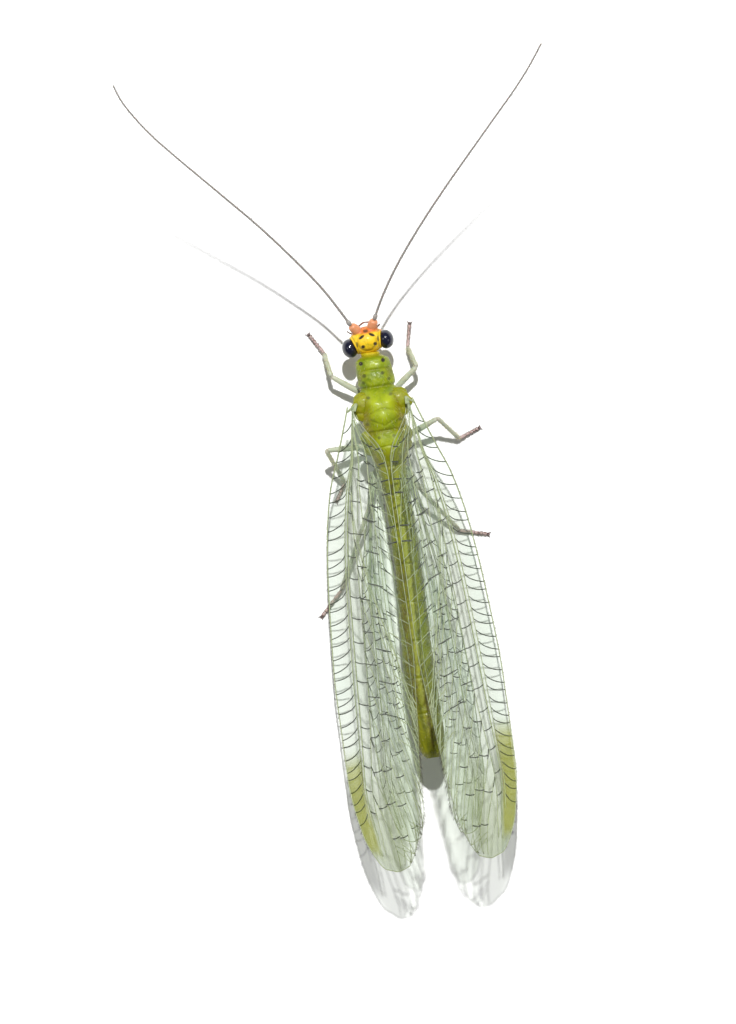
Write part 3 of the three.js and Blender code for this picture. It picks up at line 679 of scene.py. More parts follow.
FEELERS = {
    "left": dict(
        root=(0.20, -0.34, 1.62), bend=(-0.09, -0.59, 1.84),
        line=[
            [0, -0.227, -0.661, 1.911], [0.0308, -0.53, -0.82, 2.07], [0.1228, -1.42, -1.33, 2.54],
            [0.2223, -2.32, -1.97, 3.06], [0.3787, -3.69, -3.04, 3.87], [0.5451, -5.08, -4.26, 4.73],
            [0.7128, -6.47, -5.5, 5.6], [0.8207, -7.39, -6.27, 6.16], [0.9012, -8.13, -6.77, 6.58],
            [0.9615, -8.72, -7.08, 6.9], [1, -9.13, -7.2, 7.1],
        ],
    ),
    "right": dict(
        root=(0.14, 0.09, 1.62), bend=(-0.16, 0.24, 1.84),
        line=[
            [0, -0.296, 0.308, 1.915], [0.0256, -0.54, 0.43, 2.05], [0.1074, -1.28, 0.88, 2.49],
            [0.1918, -2.01, 1.4, 2.94], [0.3239, -3.09, 2.29, 3.65], [0.459, -4.15, 3.25, 4.38],
            [0.5966, -5.2, 4.26, 5.12], [0.735, -6.25, 5.28, 5.87], [0.8269, -6.95, 5.96, 6.36],
            [0.916, -7.66, 6.58, 6.84], [1, -8.37, 7.11, 7.3],
        ],
    ),
}


def to_head(p):
    """A place in the frame of the head."""
    da, ds = HEAD["a"] - p[0], p[1] - HEAD["s"]
    ct, st = math.cos(HEAD["turn"]), math.sin(HEAD["turn"])
    return (ds * ct + da * st, -ds * st + da * ct, p[2] - HEAD["z"])


SOCKETS = [to_head(FEELERS[k]["root"]) for k in FEELERS]

skin = Build()
RINGS, AROUND = 620, 112
angles = np.arange(AROUND) * 2 * PI / AROUND
stations = np.concatenate([np.linspace(0.92, 4.9, 300), np.linspace(4.9, 14.66, RINGS - 300 + 1)[1:]])
pts, marks = [], {}
for a in stations:
    p, mk = body_ring(float(a), angles)
    pts.append(p)
    for key, val in mk.items():
        marks.setdefault(key, []).append(val)
pts = np.concatenate(pts)
ends = [pts[:AROUND].mean(axis=0), pts[-AROUND:].mean(axis=0)]
marks = {k: np.concatenate(v + [v[0][:1], v[-1][:1]]) for k, v in marks.items()}
k = np.arange(AROUND)
n_pts = len(pts)
skin.add(
    np.vstack([pts, ends]),
    [
        grid_faces(RINGS, AROUND)[:, ::-1],
        np.stack([np.full(AROUND, n_pts), k, (k + 1) % AROUND], axis=-1),
        np.stack([np.full(AROUND, n_pts + 1), n_pts - AROUND + (k + 1) % AROUND, n_pts - AROUND + k], axis=-1),
    ],
    attrs=marks,
)
head_skin(skin)
# plates at the wing roots, and the two small lobes at the end of the abdomen
for a, s, z, ra, rs, rz in (
    (2.62, 0.58, 2.21, 0.34, 0.38, 0.150), (2.90, 0.62, 2.15, 0.30, 0.33, 0.135),
    (2.42, 0.60, 2.09, 0.22, 0.31, 0.130), (3.78, 0.58, 2.14, 0.31, 0.31, 0.145),
    (4.10, 0.56, 2.04, 0.26, 0.26, 0.130), (2.72, 0.92, 2.33, 0.17, 0.12, 0.050),
):
    for side in (-1, 1):
        def dent(v, a=a, side=side):
            return v * (1 + 0.025 * np.sin(v[:, 0] * 7 + a * 9) * np.cos(v[:, 1] * 8 + side) + 0.015 * np.sin(v[:, 2] * 13 + a))[:, None]

        skin.ball(place(a, side * s + 0.05, z), np.diag([rs, ra, rz]), 36, 24,
                  attrs={"green": 0.75, "tan": 0.60, "lobe": 0.05}, shape=dent)
for side in (-1, 1):
    skin.ball(place(14.50, side * 0.13, 2.00), np.diag([0.13, 0.17, 0.22]), 24, 16,
              attrs={"green": 0.25, "lobe": 0.25})
skin_object = skin.make(
    "body_skin", [SKIN], "body_green",
    ["prothorax", "mesothorax", "metathorax", "head"] + [f"abdomen_{i}" for i in range(1, 9)],
)

# ---------------------------------------------------------------------- eyes
for side, name in ((-1, "left"), (1, "right")):
    eye = Build()

    def eye_shape(v, side=side):
        g = 0.985
        return head_place(side * EYE["out"] + v[:, 0] * EYE["x"] * g, EYE["back"] + v[:, 1] * EYE["y"] * g, EYE["up"] + v[:, 2] * EYE["z"] * g)

    th = np.linspace(0, PI, 65)[1:-1]
    ph = np.arange(96) * 2 * PI / 96
    T, P = np.meshgrid(th, ph, indexing="ij")
    unit = np.stack([np.sin(T) * np.cos(P), np.sin(T) * np.sin(P), np.cos(T)], axis=-1).reshape(-1, 3)
    unit = np.vstack([unit, [0, 0, 1], [0, 0, -1]])
    # painted sheen: the coloured rim stands in for the eye's glinting sheen and is widest on the outer side of the
    # eye
    rim = np.hypot(unit[:, 0], unit[:, 1]) * mix(0.60, 1.0, np.clip(0.5 + 0.5 * side * unit[:, 0] - 0.2 * unit[:, 1], 0, 1))
    rim = mix(0.35, rim, smooth((unit[:, 2] + 0.04) / 0.10) * smooth((0.56 - unit[:, 2]) / 0.24))
    eye.ball((0, 0, 0), np.eye(3), 96, 64, attrs={"rim": np.clip(rim, 0, 1)}, shape=eye_shape)
    eye.make(f"eye_{name}_facets", [EYES], "eye_dark", [f"eye_{name}"])

# ------------------------------------------------------------------- feelers
def feeler_line(side, t):
    table = FEELERS[side]["line"]
    a, s, z = (np.array([row(table, x, c) for x in t]) for c in (1, 2, 3))
    for v in (a, s, z):              # a light smoothing of the measured line
        for _ in range(2):
            if len(v) > 60:
                k = len(v) // 60
                pad = np.concatenate([2 * v[0] - v[1:k + 1][::-1], v, 2 * v[-1] - v[-k - 1:-1][::-1]])
                v[:] = np.convolve(pad, np.ones(2 * k + 1) / (2 * k + 1), "valid")
    return place(a, s, z)


for name, f in FEELERS.items():
    b = Build()
    root, bend = place(*f["root"]), place(*f["bend"])
    axis = (bend - root) / np.linalg.norm(bend - root)
    t = np.linspace(0, 1, 15)
    r = 0.125 + 0.045 * np.sin(PI * np.clip(t * 1.05, 0, 1)) ** 0.8
    r[0], r[-1] = 0.09, 0.07
    b.tube(root - axis * 0.08 + np.outer(t, bend - root + axis * 0.05), r, 24, 0)
    line = feeler_line(name, np.linspace(0, 0.06, 3))
    first = (line[1] - line[0]) / np.linalg.norm(line[1] - line[0])
    p0, p1 = bend - axis * 0.01, line[0] + first * 0.02
    t = np.linspace(0, 1, 11)
    b.tube(p0 + np.outer(t, p1 - p0), 0.055 + 0.028 * np.sin(PI * t) ** 0.7, 20, 1)
    b.make(f"scape_{name}_base", [SCAPE_MAT, FEELER_MAT], "scape_orange", [f"scape_{name}"])

    b = Build()
    joints = 112
    per = 5
    tt = np.linspace(0, 1, joints * per + 1)
    line = feeler_line(name, tt)
    phase = (np.arange(len(tt)) % per) / per
    r = mix(0.046, 0.028, tt ** 0.8) * (0.86 + 0.16 * np.sin(PI * np.clip(phase * 1.1, 0, 1)) ** 0.6)
    r[-3:] *= (0.9, 0.7, 0.35)
    b.tube(line, r, 10, 0, attrs={"tip": np.concatenate([np.repeat((phase == 0) * 0.7, 10), [0, 0]])})
    b.make(f"feeler_{name}_flagellum", [FEELER_MAT], "feeler_grey", [f"feeler_{name}"])
    # short hairs spread all along the feeler
    h = Build()
    at = np.linspace(0.01, 0.995, 900)
    base = feeler_line(name, at)
    tan = np.gradient(base, axis=0)
    tan /= np.linalg.norm(tan, axis=1)[:, None]
    turn = rng.uniform(0, 2 * PI, len(at))
    n1 = np.cross(tan, [0, 0, 1.0])
    n1 /= np.linalg.norm(n1, axis=1)[:, None]
    n2 = np.cross(tan, n1)
    normal = np.cos(turn)[:, None] * n1 + np.sin(turn)[:, None] * n2
    rr = mix(0.040, 0.025, at)
    uv = np.stack([0.02 + 0.95 * at, 0.02 + 0.95 * turn / (2 * PI)], axis=-1)
    h.hairs(base + normal * rr[:, None], normal * 0.62 + tan * 0.8, rng.uniform(0.045, 0.075, len(at)), 0.0032, tan * 0.25, uv=uv)
    h.make(f"feeler_{name}_hair", [HAIR_DARK], "feeler_grey", coat=True)

# ---------------------------------------------------------------- mouthparts
mouth = Build()
mouth.ball(head_place(0, 0.26, -0.52), np.diag([0.20, 0.17, 0.17]), 32, 20, mat=0)
mouth.ball(head_place(0, 0.34, -0.66), np.diag([0.15, 0.08, 0.11]), 28, 16, mat=0, attrs={"tip": 0.35})
for side in (-1, 1):
    t = np.linspace(0, 1, 10)
    jaw = np.array([head_place(side * mix(0.19, 0.03, x ** 1.4), 0.24 + 0.06 * math.sin(PI * x), -0.56 - 0.26 * x) for x in t])
    mouth.tube(jaw, mix(0.075, 0.018, t), 12, 1)


def palp(build, points, r0, r1, joints, mat):
    """A jointed palp along a smooth line through a few places."""
    p = np.array(points, float)
    t = np.linspace(0, 1, joints * 7 + 1)
    k = np.linspace(0, 1, len(p))
    fine = np.stack([np.interp(t, k, p[:, c]) for c in range(3)], axis=-1)
    for _ in range(6):
        fine[1:-1] = (fine[:-2] + 2 * fine[1:-1] + fine[2:]) / 4
    phase = (np.arange(len(t)) % 7) / 7
    r = mix(r0, r1, t) * (0.72 + 0.32 * np.sin(PI * phase) ** 0.5)
    r[-1] *= 0.4
    build.tube(fine, r, 10, mat, attrs={"tip": np.concatenate([np.repeat((phase < 0.1) * 0.8, 10), [0, 0]])})


palp(mouth, [place(0.34, -0.26, 0.92), place(0.16, -0.42, 0.98), place(0.02, -0.36, 1.20), place(-0.12, -0.14, 1.34), place(-0.08, 0.16, 1.30)], 0.042, 0.026, 5, 1)
palp(mouth, [place(0.30, 0.06, 0.92), place(0.14, 0.24, 0.98), place(0.05, 0.36, 0.90), place(0.02, 0.40, 0.74)], 0.042, 0.026, 5, 1)
palp(mouth, [place(0.36, -0.24, 0.86), place(0.24, -0.52, 0.90), place(0.16, -0.68, 1.08), place(0.10, -0.72, 1.26)], 0.030, 0.020, 3, 1)
palp(mouth, [place(0.36, 0.02, 0.80), place(0.26, 0.18, 0.70), place(0.22, 0.26, 0.58)], 0.028, 0.018, 3, 1)
mouth.make("mouthparts", [SCAPE_MAT, PALP_MAT], "scape_orange", ["mouth"])

# ---------------------------------------------------------------------- legs
LEGS = {
    "fore_left": [(2.40, -0.34, 0.66), (1.53, -1.52, 1.02), (0.70, -1.60, 0.30), (-0.06, -2.06, 0.25)],
    "fore_right": [(2.42, 0.36, 0.66), (1.62, 1.45, 1.10), (0.92, 1.20, 0.30), (0.06, 1.41, 0.25)],
    "mid_left": [(4.02, -0.42, 0.58), (3.92, -2.06, 1.46), (5.12, -1.56, 0.30), (5.76, -1.98, 0.25)],
    "mid_right": [(3.98, 0.46, 0.58), (3.40, 1.86, 1.46), (4.21, 2.45, 0.30), (3.93, 3.26, 0.25)],
    "hind_left": [(4.62, -0.40, 0.72), (6.05, -0.86, 1.30), (8.66, -2.22, 0.30), (9.50, -3.06, 0.25)],
    "hind_right": [(4.60, 0.44, 0.72), (5.75, 0.92, 1.30), (7.26, 2.00, 0.30), (7.56, 3.02, 0.25)],
}


def limb(build, p, q, radii, sides=16, mat=0, bow=(0, 0, 0), tip=None, steps=15):
    """One straight or slightly bowed length; radii is a short table of shares."""
    t = np.linspace(0, 1, steps)
    line = p + np.outer(t, q - p) + np.outer(np.sin(PI * t), bow)
    r = np.array([row(radii, x) for x in t])
    extra = None if tip is None else {"tip": np.concatenate([np.repeat([row(tip, x) for x in t], sides), [0, 0]])}
    build.tube(line, r, sides, mat, attrs=extra)
    return line, r


def hair_on(build, line, r, count, long, thick, lean=0.85, mat=0, where=None):
    n = len(line)
    pos = rng.uniform(0.05, 0.97, count) * (n - 1)
    i = np.clip(pos.astype(int), 0, n - 2)
    w = (pos - i)[:, None]
    base = line[i] * (1 - w) + line[i + 1] * w
    rad = r[i] * (1 - w[:, 0]) + r[i + 1] * w[:, 0]
    tan = line[i + 1] - line[i]
    tan /= np.linalg.norm(tan, axis=1)[:, None]
    n1 = np.cross(tan, [0.1, 0.2, 1.0])
    n1 /= np.linalg.norm(n1, axis=1)[:, None]
    n2 = np.cross(tan, n1)
    turn = rng.uniform(0, 2 * PI, count)
    normal = np.cos(turn)[:, None] * n1 + np.sin(turn)[:, None] * n2
    uv = np.stack([0.02 + 0.95 * pos / n, 0.02 + 0.95 * turn / (2 * PI)], axis=-1)
    build.hairs(base + normal * (rad * 0.95)[:, None], normal * 0.6 + tan * lean, long * rng.uniform(0.7, 1.2, count), thick, tan * 0.2, mat, uv)


for name, (c, kn, an, tp) in LEGS.items():
    c, kn, an, tp = place(*c), place(*kn), place(*an), place(*tp)
    side = -1 if "left" in name else 1
    # the bend of the solids' middle line lies a little inside the knee
    inward = (c - kn) / np.linalg.norm(c - kn) + (an - kn) / np.linalg.norm(an - kn)
    kn = kn + inward / (np.linalg.norm(inward) + 1e-9) * 0.07
    f = Build()
    top = c + np.array([-side * 0.14, 0.02, 0.50])
    limb(f, top, c + np.array([0, 0, 0.02]), [[0, 0.09], [0.25, 0.14], [0.55, 0.165], [0.85, 0.13], [1, 0.09]], 20)
    toward = (kn - c) / np.linalg.norm(kn - c)
    limb(f, c - toward * 0.03, c + toward * 0.16, [[0, 0.07], [0.5, 0.105], [1, 0.08]], 16)
    fl, fr = limb(f, c + toward * 0.12, kn, [[0, 0.070], [0.15, 0.092], [0.5, 0.104], [0.85, 0.084], [0.96, 0.080], [1, 0.05]], 18,
                  tip=[[0, 0], [0.9, 0.0], [1, 0.5]], bow=(0, 0, 0.03))
    f.make(f"{name}_thigh", [LEG_MAT], "leg_pale", [f"{name}_femur"])
    s = Build()
    end = an + np.array([0, 0, -0.06])
    sl, sr = limb(s, kn, end, [[0, 0.055], [0.05, 0.076], [0.2, 0.066], [0.6, 0.064], [0.9, 0.072], [1, 0.05]], 16,
                  tip=[[0, 0.45], [0.1, 0.05], [0.8, 0.1], [1, 0.9]], bow=(0, 0, 0.02), steps=21)
    s.make(f"{name}_shin", [LEG_MAT], "leg_pale", [f"{name}_tibia"])
    # five-jointed foot laid along the floor, with a pad and two claws
    t = Build()
    flat = (tp - an) * [1, 1, 0]
    length = np.linalg.norm(flat)
    flat /= length
    across = np.cross([0, 0, 1.0], flat)
    reach = length - 0.13
    shares = np.array([0, 0.36, 0.56, 0.72, 0.84, 1.0])
    z0, z1 = 0.22, 0.075
    foot_line = []
    for i in range(5):
        p = an * [1, 1, 0] + flat * reach * shares[i] + [0, 0, mix(z0, z1, shares[i] ** 0.7)]
        q = an * [1, 1, 0] + flat * reach * shares[i + 1] + [0, 0, mix(z0, z1, shares[i + 1] ** 0.7)]
        line, r = limb(t, p, q, [[0, 0.038], [0.2, 0.050], [0.8, 0.062], [1, 0.040]], 14,
                       tip=[[0, 0.5], [0.12, 0.0], [0.8, 0.1], [1, 0.6]], steps=9)
        foot_line.append((line, r))
    tipp = an * [1, 1, 0] + flat * reach + [0, 0, z1]
    t.ball(tipp + flat * 0.05 + np.array([0, 0, -0.035]), np.stack([flat * 0.055, across * 0.045, [0, 0, 0.032]]), 18, 12, attrs={"tip": 0.8})
    for sgn in (-1, 1):
        u = np.linspace(0, 1, 9)
        claw = np.array([tipp + flat * (0.01 + 0.12 * math.sin(x * 1.35)) + across * sgn * (0.02 + 0.075 * x) + np.array([0, 0, 0.02 * math.sin(PI * x) - 0.066 * x * x]) for x in u])
        claw[:, 2] = np.maximum(claw[:, 2], 0.009)
        t.tube(claw, mix(0.022, 0.006, u), 8, 0, attrs={"tip": 1.0})
    t.make(f"{name}_tarsus", [FOOT_MAT], "foot_brown", [f"{name}_foot"])
    h = Build()
    hair_on(h, fl, fr, 130, 0.085, 0.0038)
    hair_on(h, sl, sr, 260, 0.095, 0.0040)
    for line, r in foot_line:
        hair_on(h, line, r, 34, 0.060, 0.0036, mat=1)
    v = np.concatenate(h.v)
    h.v = [np.column_stack([v[:, :2], np.maximum(v[:, 2], 0.002)])]
    h.make(f"{name}_hair", [HAIR_PALE, HAIR_DARK], "leg_pale", coat=True)

# --------------------------------------------------------------------- wings
WING, LAYER, RIDGE, DRIFT = 0.5, 0.08, 0.05, -0.0102
SHEET = 0.05                   # depth of the membrane below the outer side of its solid
FORE = dict(
    start=2.62, end=18.36,
    edge=[[0, 1.12], [0.05, 1.38], [0.11, 1.72], [0.17, 2.07], [0.27, 2.40], [0.42, 2.66],
          [0.62, 2.84], [0.79, 2.84], [0.90, 2.62], [0.97, 2.18], [1, 1.78]],
    edgeZ=[[0, 2.35], [0.06, 2.26], [0.13, 1.98], [0.22, 1.56], [0.32, 1.30], [0.50, 1.26],
           [0.66, 1.36], [0.80, 1.66], [0.90, 2.14], [1, 2.86]],
    ridge=[[0, 0.92], [0.03, 0.82], [0.06, 0.58], [0.09, 0.28], [0.12, 0.14], [0.16, 0.10], [0.50, 0.10],
           [0.66, 0.26], [0.80, 0.48], [0.90, 0.68], [0.96, 0.98], [1, 1.36]],
    ridgeZ=[[0, 2.62], [0.03, 2.76], [0.06, 3.08], [0.12, 3.84], [0.20, 4.50], [0.32, 5.06], [0.50, 5.38],
            [0.70, 5.36], [0.84, 4.86], [0.93, 4.10], [1, 3.22]],
    field=0.50, rise=0.24, bulge=0.16,
)
HIND = dict(
    start=4.88, end=17.42, show=0.26,
    lowZ=[[0, 2.52], [0.10, 2.34], [0.20, 1.95], [0.32, 1.60], [0.60, 1.55], [0.80, 1.80], [0.92, 2.35], [1, 2.95]],
    highZ=[[0, 3.05], [0.14, 3.40], [0.30, 3.80], [0.55, 4.20], [0.75, 4.30], [0.90, 4.00], [1, 3.35]],
)
KNOT = 0.16


GRID = np.linspace(0, 1, 1601)
FINE = {k: np.array([row(FORE[k], x) for x in GRID]) for k in ("edge", "edgeZ", "ridge", "ridgeZ")}
FINE.update({k: np.array([row(HIND[k], x) for x in GRID]) for k in ("lowZ", "highZ")})


def fine(key, u):
    return np.interp(u, GRID, FINE[key])


def fore_outer(u, w):
    """The outer side of the forewing's solid at shares of its length and chord."""
    ex, ez, mx, mz = (fine(k, u) for k in ("edge", "edgeZ", "ridge", "ridgeZ"))
    fade = mix(0.35, 1, np.minimum(1, u / 0.12)) * np.minimum(1, (1 - u) / 0.10 + 0.15)
    fx, fz = ex - FORE["field"] * fade * 0.9, ez + FORE["rise"] * fade
    t1 = np.clip(w / KNOT, 0, 1)
    t = np.clip((w - KNOT) / (1 - KNOT), 0, 1)
    nx, nz = mz - fz, fx - mx
    n = np.maximum(1e-6, np.hypot(nx, nz))
    b = 4 * t * (1 - t) * FORE["bulge"] * fade
    x = np.where(w <= KNOT, mix(ex, fx, t1), mix(fx, mx, t) + b * nx / n)
    z = np.where(w <= KNOT, mix(ez, fz, t1), mix(fz, mz, t) + b * nz / n)
    return x, z


def fore_deep(u, w, depth):
    u, w = np.broadcast_arrays(np.asarray(u, float), np.asarray(w, float))
    px, pz = fore_outer(u, w)
    x0, z0 = fore_outer(u, np.maximum(0, w - 0.04))
    x1, z1 = fore_outer(u, np.minimum(1, w + 0.04))
    dx, dz = x1 - x0, z1 - z0
    n = np.hypot(dx, dz)
    return px - dz / n * depth, pz + dx / n * depth


def while_true(test, low, high):
    """For each station the chord share up to which a test holds."""
    p, q = np.broadcast_to(low, STATIONS.shape).astype(float), np.broadcast_to(high, STATIONS.shape).astype(float)
    whole, top = test(q), q
    for _ in range(24):
        m = (p + q) / 2
        ok = test(m)
        p, q = np.where(ok, m, p), np.where(ok, q, m)
    return np.where(whole, top, p)


def chord_while(test, low=0.0, high=1.0):
    if test(high):
        return high
    p, q = low, high
    for _ in range(24):
        m = (p + q) / 2
        if test(m):
            p = m
        else:
            q = m
    return p


STATIONS = np.linspace(0, 1, 401)
HIND_DEPTH = WING + LAYER + SHEET


def fore_share(u):
    return (mix(HIND["start"], HIND["end"], u) - FORE["start"]) / (FORE["end"] - FORE["start"])


_fu = fore_share(STATIONS)
_inner = np.maximum(RIDGE, fine("ridge", _fu) - HIND["show"])
_low = while_true(lambda m: fore_deep(_fu, m, WING + LAYER)[1] <= fine("lowZ", STATIONS), 0.1, 0.95)
_high = while_true(lambda m: (fore_deep(_fu, m, HIND_DEPTH)[0] >= _inner + 0.02)
                   & (fore_deep(_fu, m, WING + LAYER)[1] <= fine("highZ", STATIONS)), _low, 1.0)
LIMITS = {
    "fore": (np.zeros_like(STATIONS), while_true(lambda m: fore_deep(STATIONS, m, SHEET)[0] >= RIDGE + 0.015, 0.3, 1.0)),
    "hind": (_low, _high),
}


def wing_points(kind, side, u, w, lift=0.0):
    """Points of a wing; w 0 is the leading edge, 1 the inner edge."""
    u, w = np.broadcast_arrays(np.clip(np.asarray(u, float), 0, 1), np.clip(np.asarray(w, float), 0, 1))
    # the corners of the tip are rounded off
    u = u * 0.993 - 0.009 * (2 * w - 1) ** 2 * smooth((u - 0.93) / 0.07)
    low, high = (np.interp(u, STATIONS, x) for x in LIMITS[kind])
    chord = mix(low, high, w)
    if kind == "fore":
        x, z = fore_deep(u, chord, SHEET - lift)
        a = mix(FORE["start"], FORE["end"], u)
    else:
        x, z = fore_deep(fore_share(u), chord, HIND_DEPTH - lift)
        a = mix(HIND["start"], HIND["end"], u)
    return place(a, side * x + DRIFT * (a - FORE["start"]), z)


def venation(kind):
    """Veins as (points in share space, radius, dark)."""
    out = []
    fore = kind == "fore"
    # the chord shares of the long veins along the wing
    sc = lambda u: mix(0.16, 0.235, smooth(u / 0.22)) - 0.130 * smooth((u - 0.55) / 0.45)
    rr = lambda u: sc(u) + mix(0.035, 0.055, smooth(u / 0.2)) - 0.015 * smooth((u - 0.6) / 0.4)
    rs = lambda u: rr(u) + mix(0.02, 0.155, smooth((u - 0.08) / 0.30)) - 0.055 * smooth((u - 0.60) / 0.4)
    psm = lambda u: mix(0.40, 0.58, smooth(u / 0.30)) + 0.03 * smooth((u - 0.4) / 0.4)
    psc = lambda u: mix(0.62, 0.765, smooth(u / 0.35)) + 0.03 * smooth((u - 0.4) / 0.4)
    U = lambda a, b, n=70: np.linspace(a, b, n)

    def run(fn, a, b, r, dark=0, n=70, taper=0.6):
        u = U(a, b, n)
        w = np.array([fn(x) for x in u])
        out.append((np.stack([u, w], axis=-1), r * np.linspace(1, taper, n), dark))

    run(lambda u: 0.0, 0.0, 1.0, 0.025, n=170)
    run(sc, 0.01, 0.90, 0.019)
    run(rr, 0.0, 0.965, 0.030, n=90)
    run(rs, 0.09, 0.96, 0.020)
    run(psm, 0.03, 0.74, 0.018)
    run(psc, 0.03, 0.70, 0.018)
    run(lambda u: 1.0, 0.02, 1.0, 0.013, n=170)
    run(lambda u: mix(0.80, 1.0, smooth(u / 0.16)), 0.01, 0.16, 0.012, n=30)
    run(lambda u: mix(0.70, 0.99, smooth((u - 0.01) / 0.29)), 0.01, 0.30, 0.013, n=40)
    run(lambda u: mix(0.30, 0.46, smooth(u / 0.16)) + 0.08 * u, 0.02, 0.26, 0.017, n=30)
    out.append((np.stack([np.full(24, 1.0), np.linspace(0, 1, 24)], axis=-1), np.full(24, 0.015), 0))

    def cross(u0, w0, u1, w1, r=0.0195, dark=1, bow=0.0):
        t = np.linspace(0, 1, 7)
        u = mix(u0, u1, t) + bow * np.sin(PI * t)
        out.append((np.stack([u, mix(w0, w1, t)], axis=-1), np.full(7, r), dark))

    # costal cross veins, slanted and slightly bowed
    many = 34 if fore else 18
    for i in range(many):
        u = mix(0.035, 0.87, (i / (many - 1)) ** 0.92)
        lean = 0.020 + 0.005 * math.sin(i * 2.1)
        cross(min(0.94, u + lean), 0.0, u, sc(u), 0.0170, 1, bow=0.005)
    # radial cross veins
    for i in range(17 if fore else 11):
        u = mix(0.13, 0.86, i / (16 if fore else 10)) + 0.004 * math.sin(i * 1.7)
        cross(u, rr(u), u + 0.007, rs(u + 0.007), 0.0195, bow=0.002)
    # branches of the radial sector, running on to the inner edge
    branches = []
    number = 12 if fore else 9
    for i in range(number):
        u0 = mix(0.16, 0.83, i / (number - 1))
        slope = mix(1.15, 2.0, i / (number - 1))

        def branch(u, u0=u0, slope=slope):
            return rs(u0) + (u - u0) * slope + 0.25 * max(0, u - u0) ** 1.5

        end = chord_while(lambda x: branch(x) <= 0.999, u0, 0.993)
        branches.append((u0, end, branch))
        run(branch, u0, end, 0.0135, n=40, taper=0.8)
        near = min(end, u0 + 0.022)
        cross(u0, branch(u0), near, branch(near), 0.0160)
        # a fork close to the edge
        if end > u0 + 0.10:
            uf = end - 0.050
            wf = branch(uf)
            cross(uf, wf, min(0.992, end - 0.020), 1.0, 0.0110, 0)
            cross(uf + 0.012, branch(uf + 0.012), min(0.994, end + 0.016), 1.0, 0.0110, 0)
    # inner and outer rows of steps between the branches
    for (a0, a1, f0), (b0, b1, f1) in zip(branches[:-1], branches[1:]):
        for level in (0.53, 0.67, 0.82) if fore else (0.60, 0.80):
            if f0(a0) >= level - 0.01:
                continue
            ua = chord_while(lambda x: f0(x) <= level, a0, a1)
            ub = ua + 0.004
            if b0 + 0.004 < ub < b1:
                cross(ub, f1(ub), ua, f0(ua), 0.0200, 1, bow=0.002)
            elif ub <= b0 + 0.004:
                cross(ub, rs(ub), ua, f0(ua), 0.0195, 1, bow=0.002)
    # cells behind the false median and false cubital veins
    for i in range(9):
        u = mix(0.10, 0.66, i / 8)
        cross(u, psm(u), u + 0.012, psc(u + 0.012), 0.0200)
        if i < 8:
            cross(u + 0.03, rs(u + 0.03), u + 0.036, psm(u + 0.036), 0.0190)
    for i in range(15):
        u = mix(0.075, 0.72, i / 14)
        v = u + 0.035
        # black near its root, pale where it runs to the edge
        w1 = mix(psc(u), 1.0, 0.42)
        cross(u, psc(u), mix(u, v, 0.42), w1, 0.0155, 1 if i < 9 else 0)
        cross(mix(u, v, 0.42), w1, v, 1.0, 0.0100, 0)
    # short dark dashes beside the inner edge, over the body
    if fore:
        for u in (0.098, 0.130, 0.167, 0.196, 0.267, 0.301):
            cross(u, 0.995, u + 0.002, 0.885, 0.025)
        for u, w0, w1 in ((0.085, 0.74, 0.86), (0.12, 0.60, 0.72), (0.155, 0.45, 0.60), (0.165, 0.66, 0.80), (0.215, 0.70, 0.84), (0.245, 0.62, 0.76)):
            cross(u, w0, u + 0.006, w1, 0.023, bow=0.003)
    return out


def LINE_SC(u):
    return mix(0.16, 0.235, smooth(u / 0.22)) - 0.130 * smooth((u - 0.55) / 0.45)


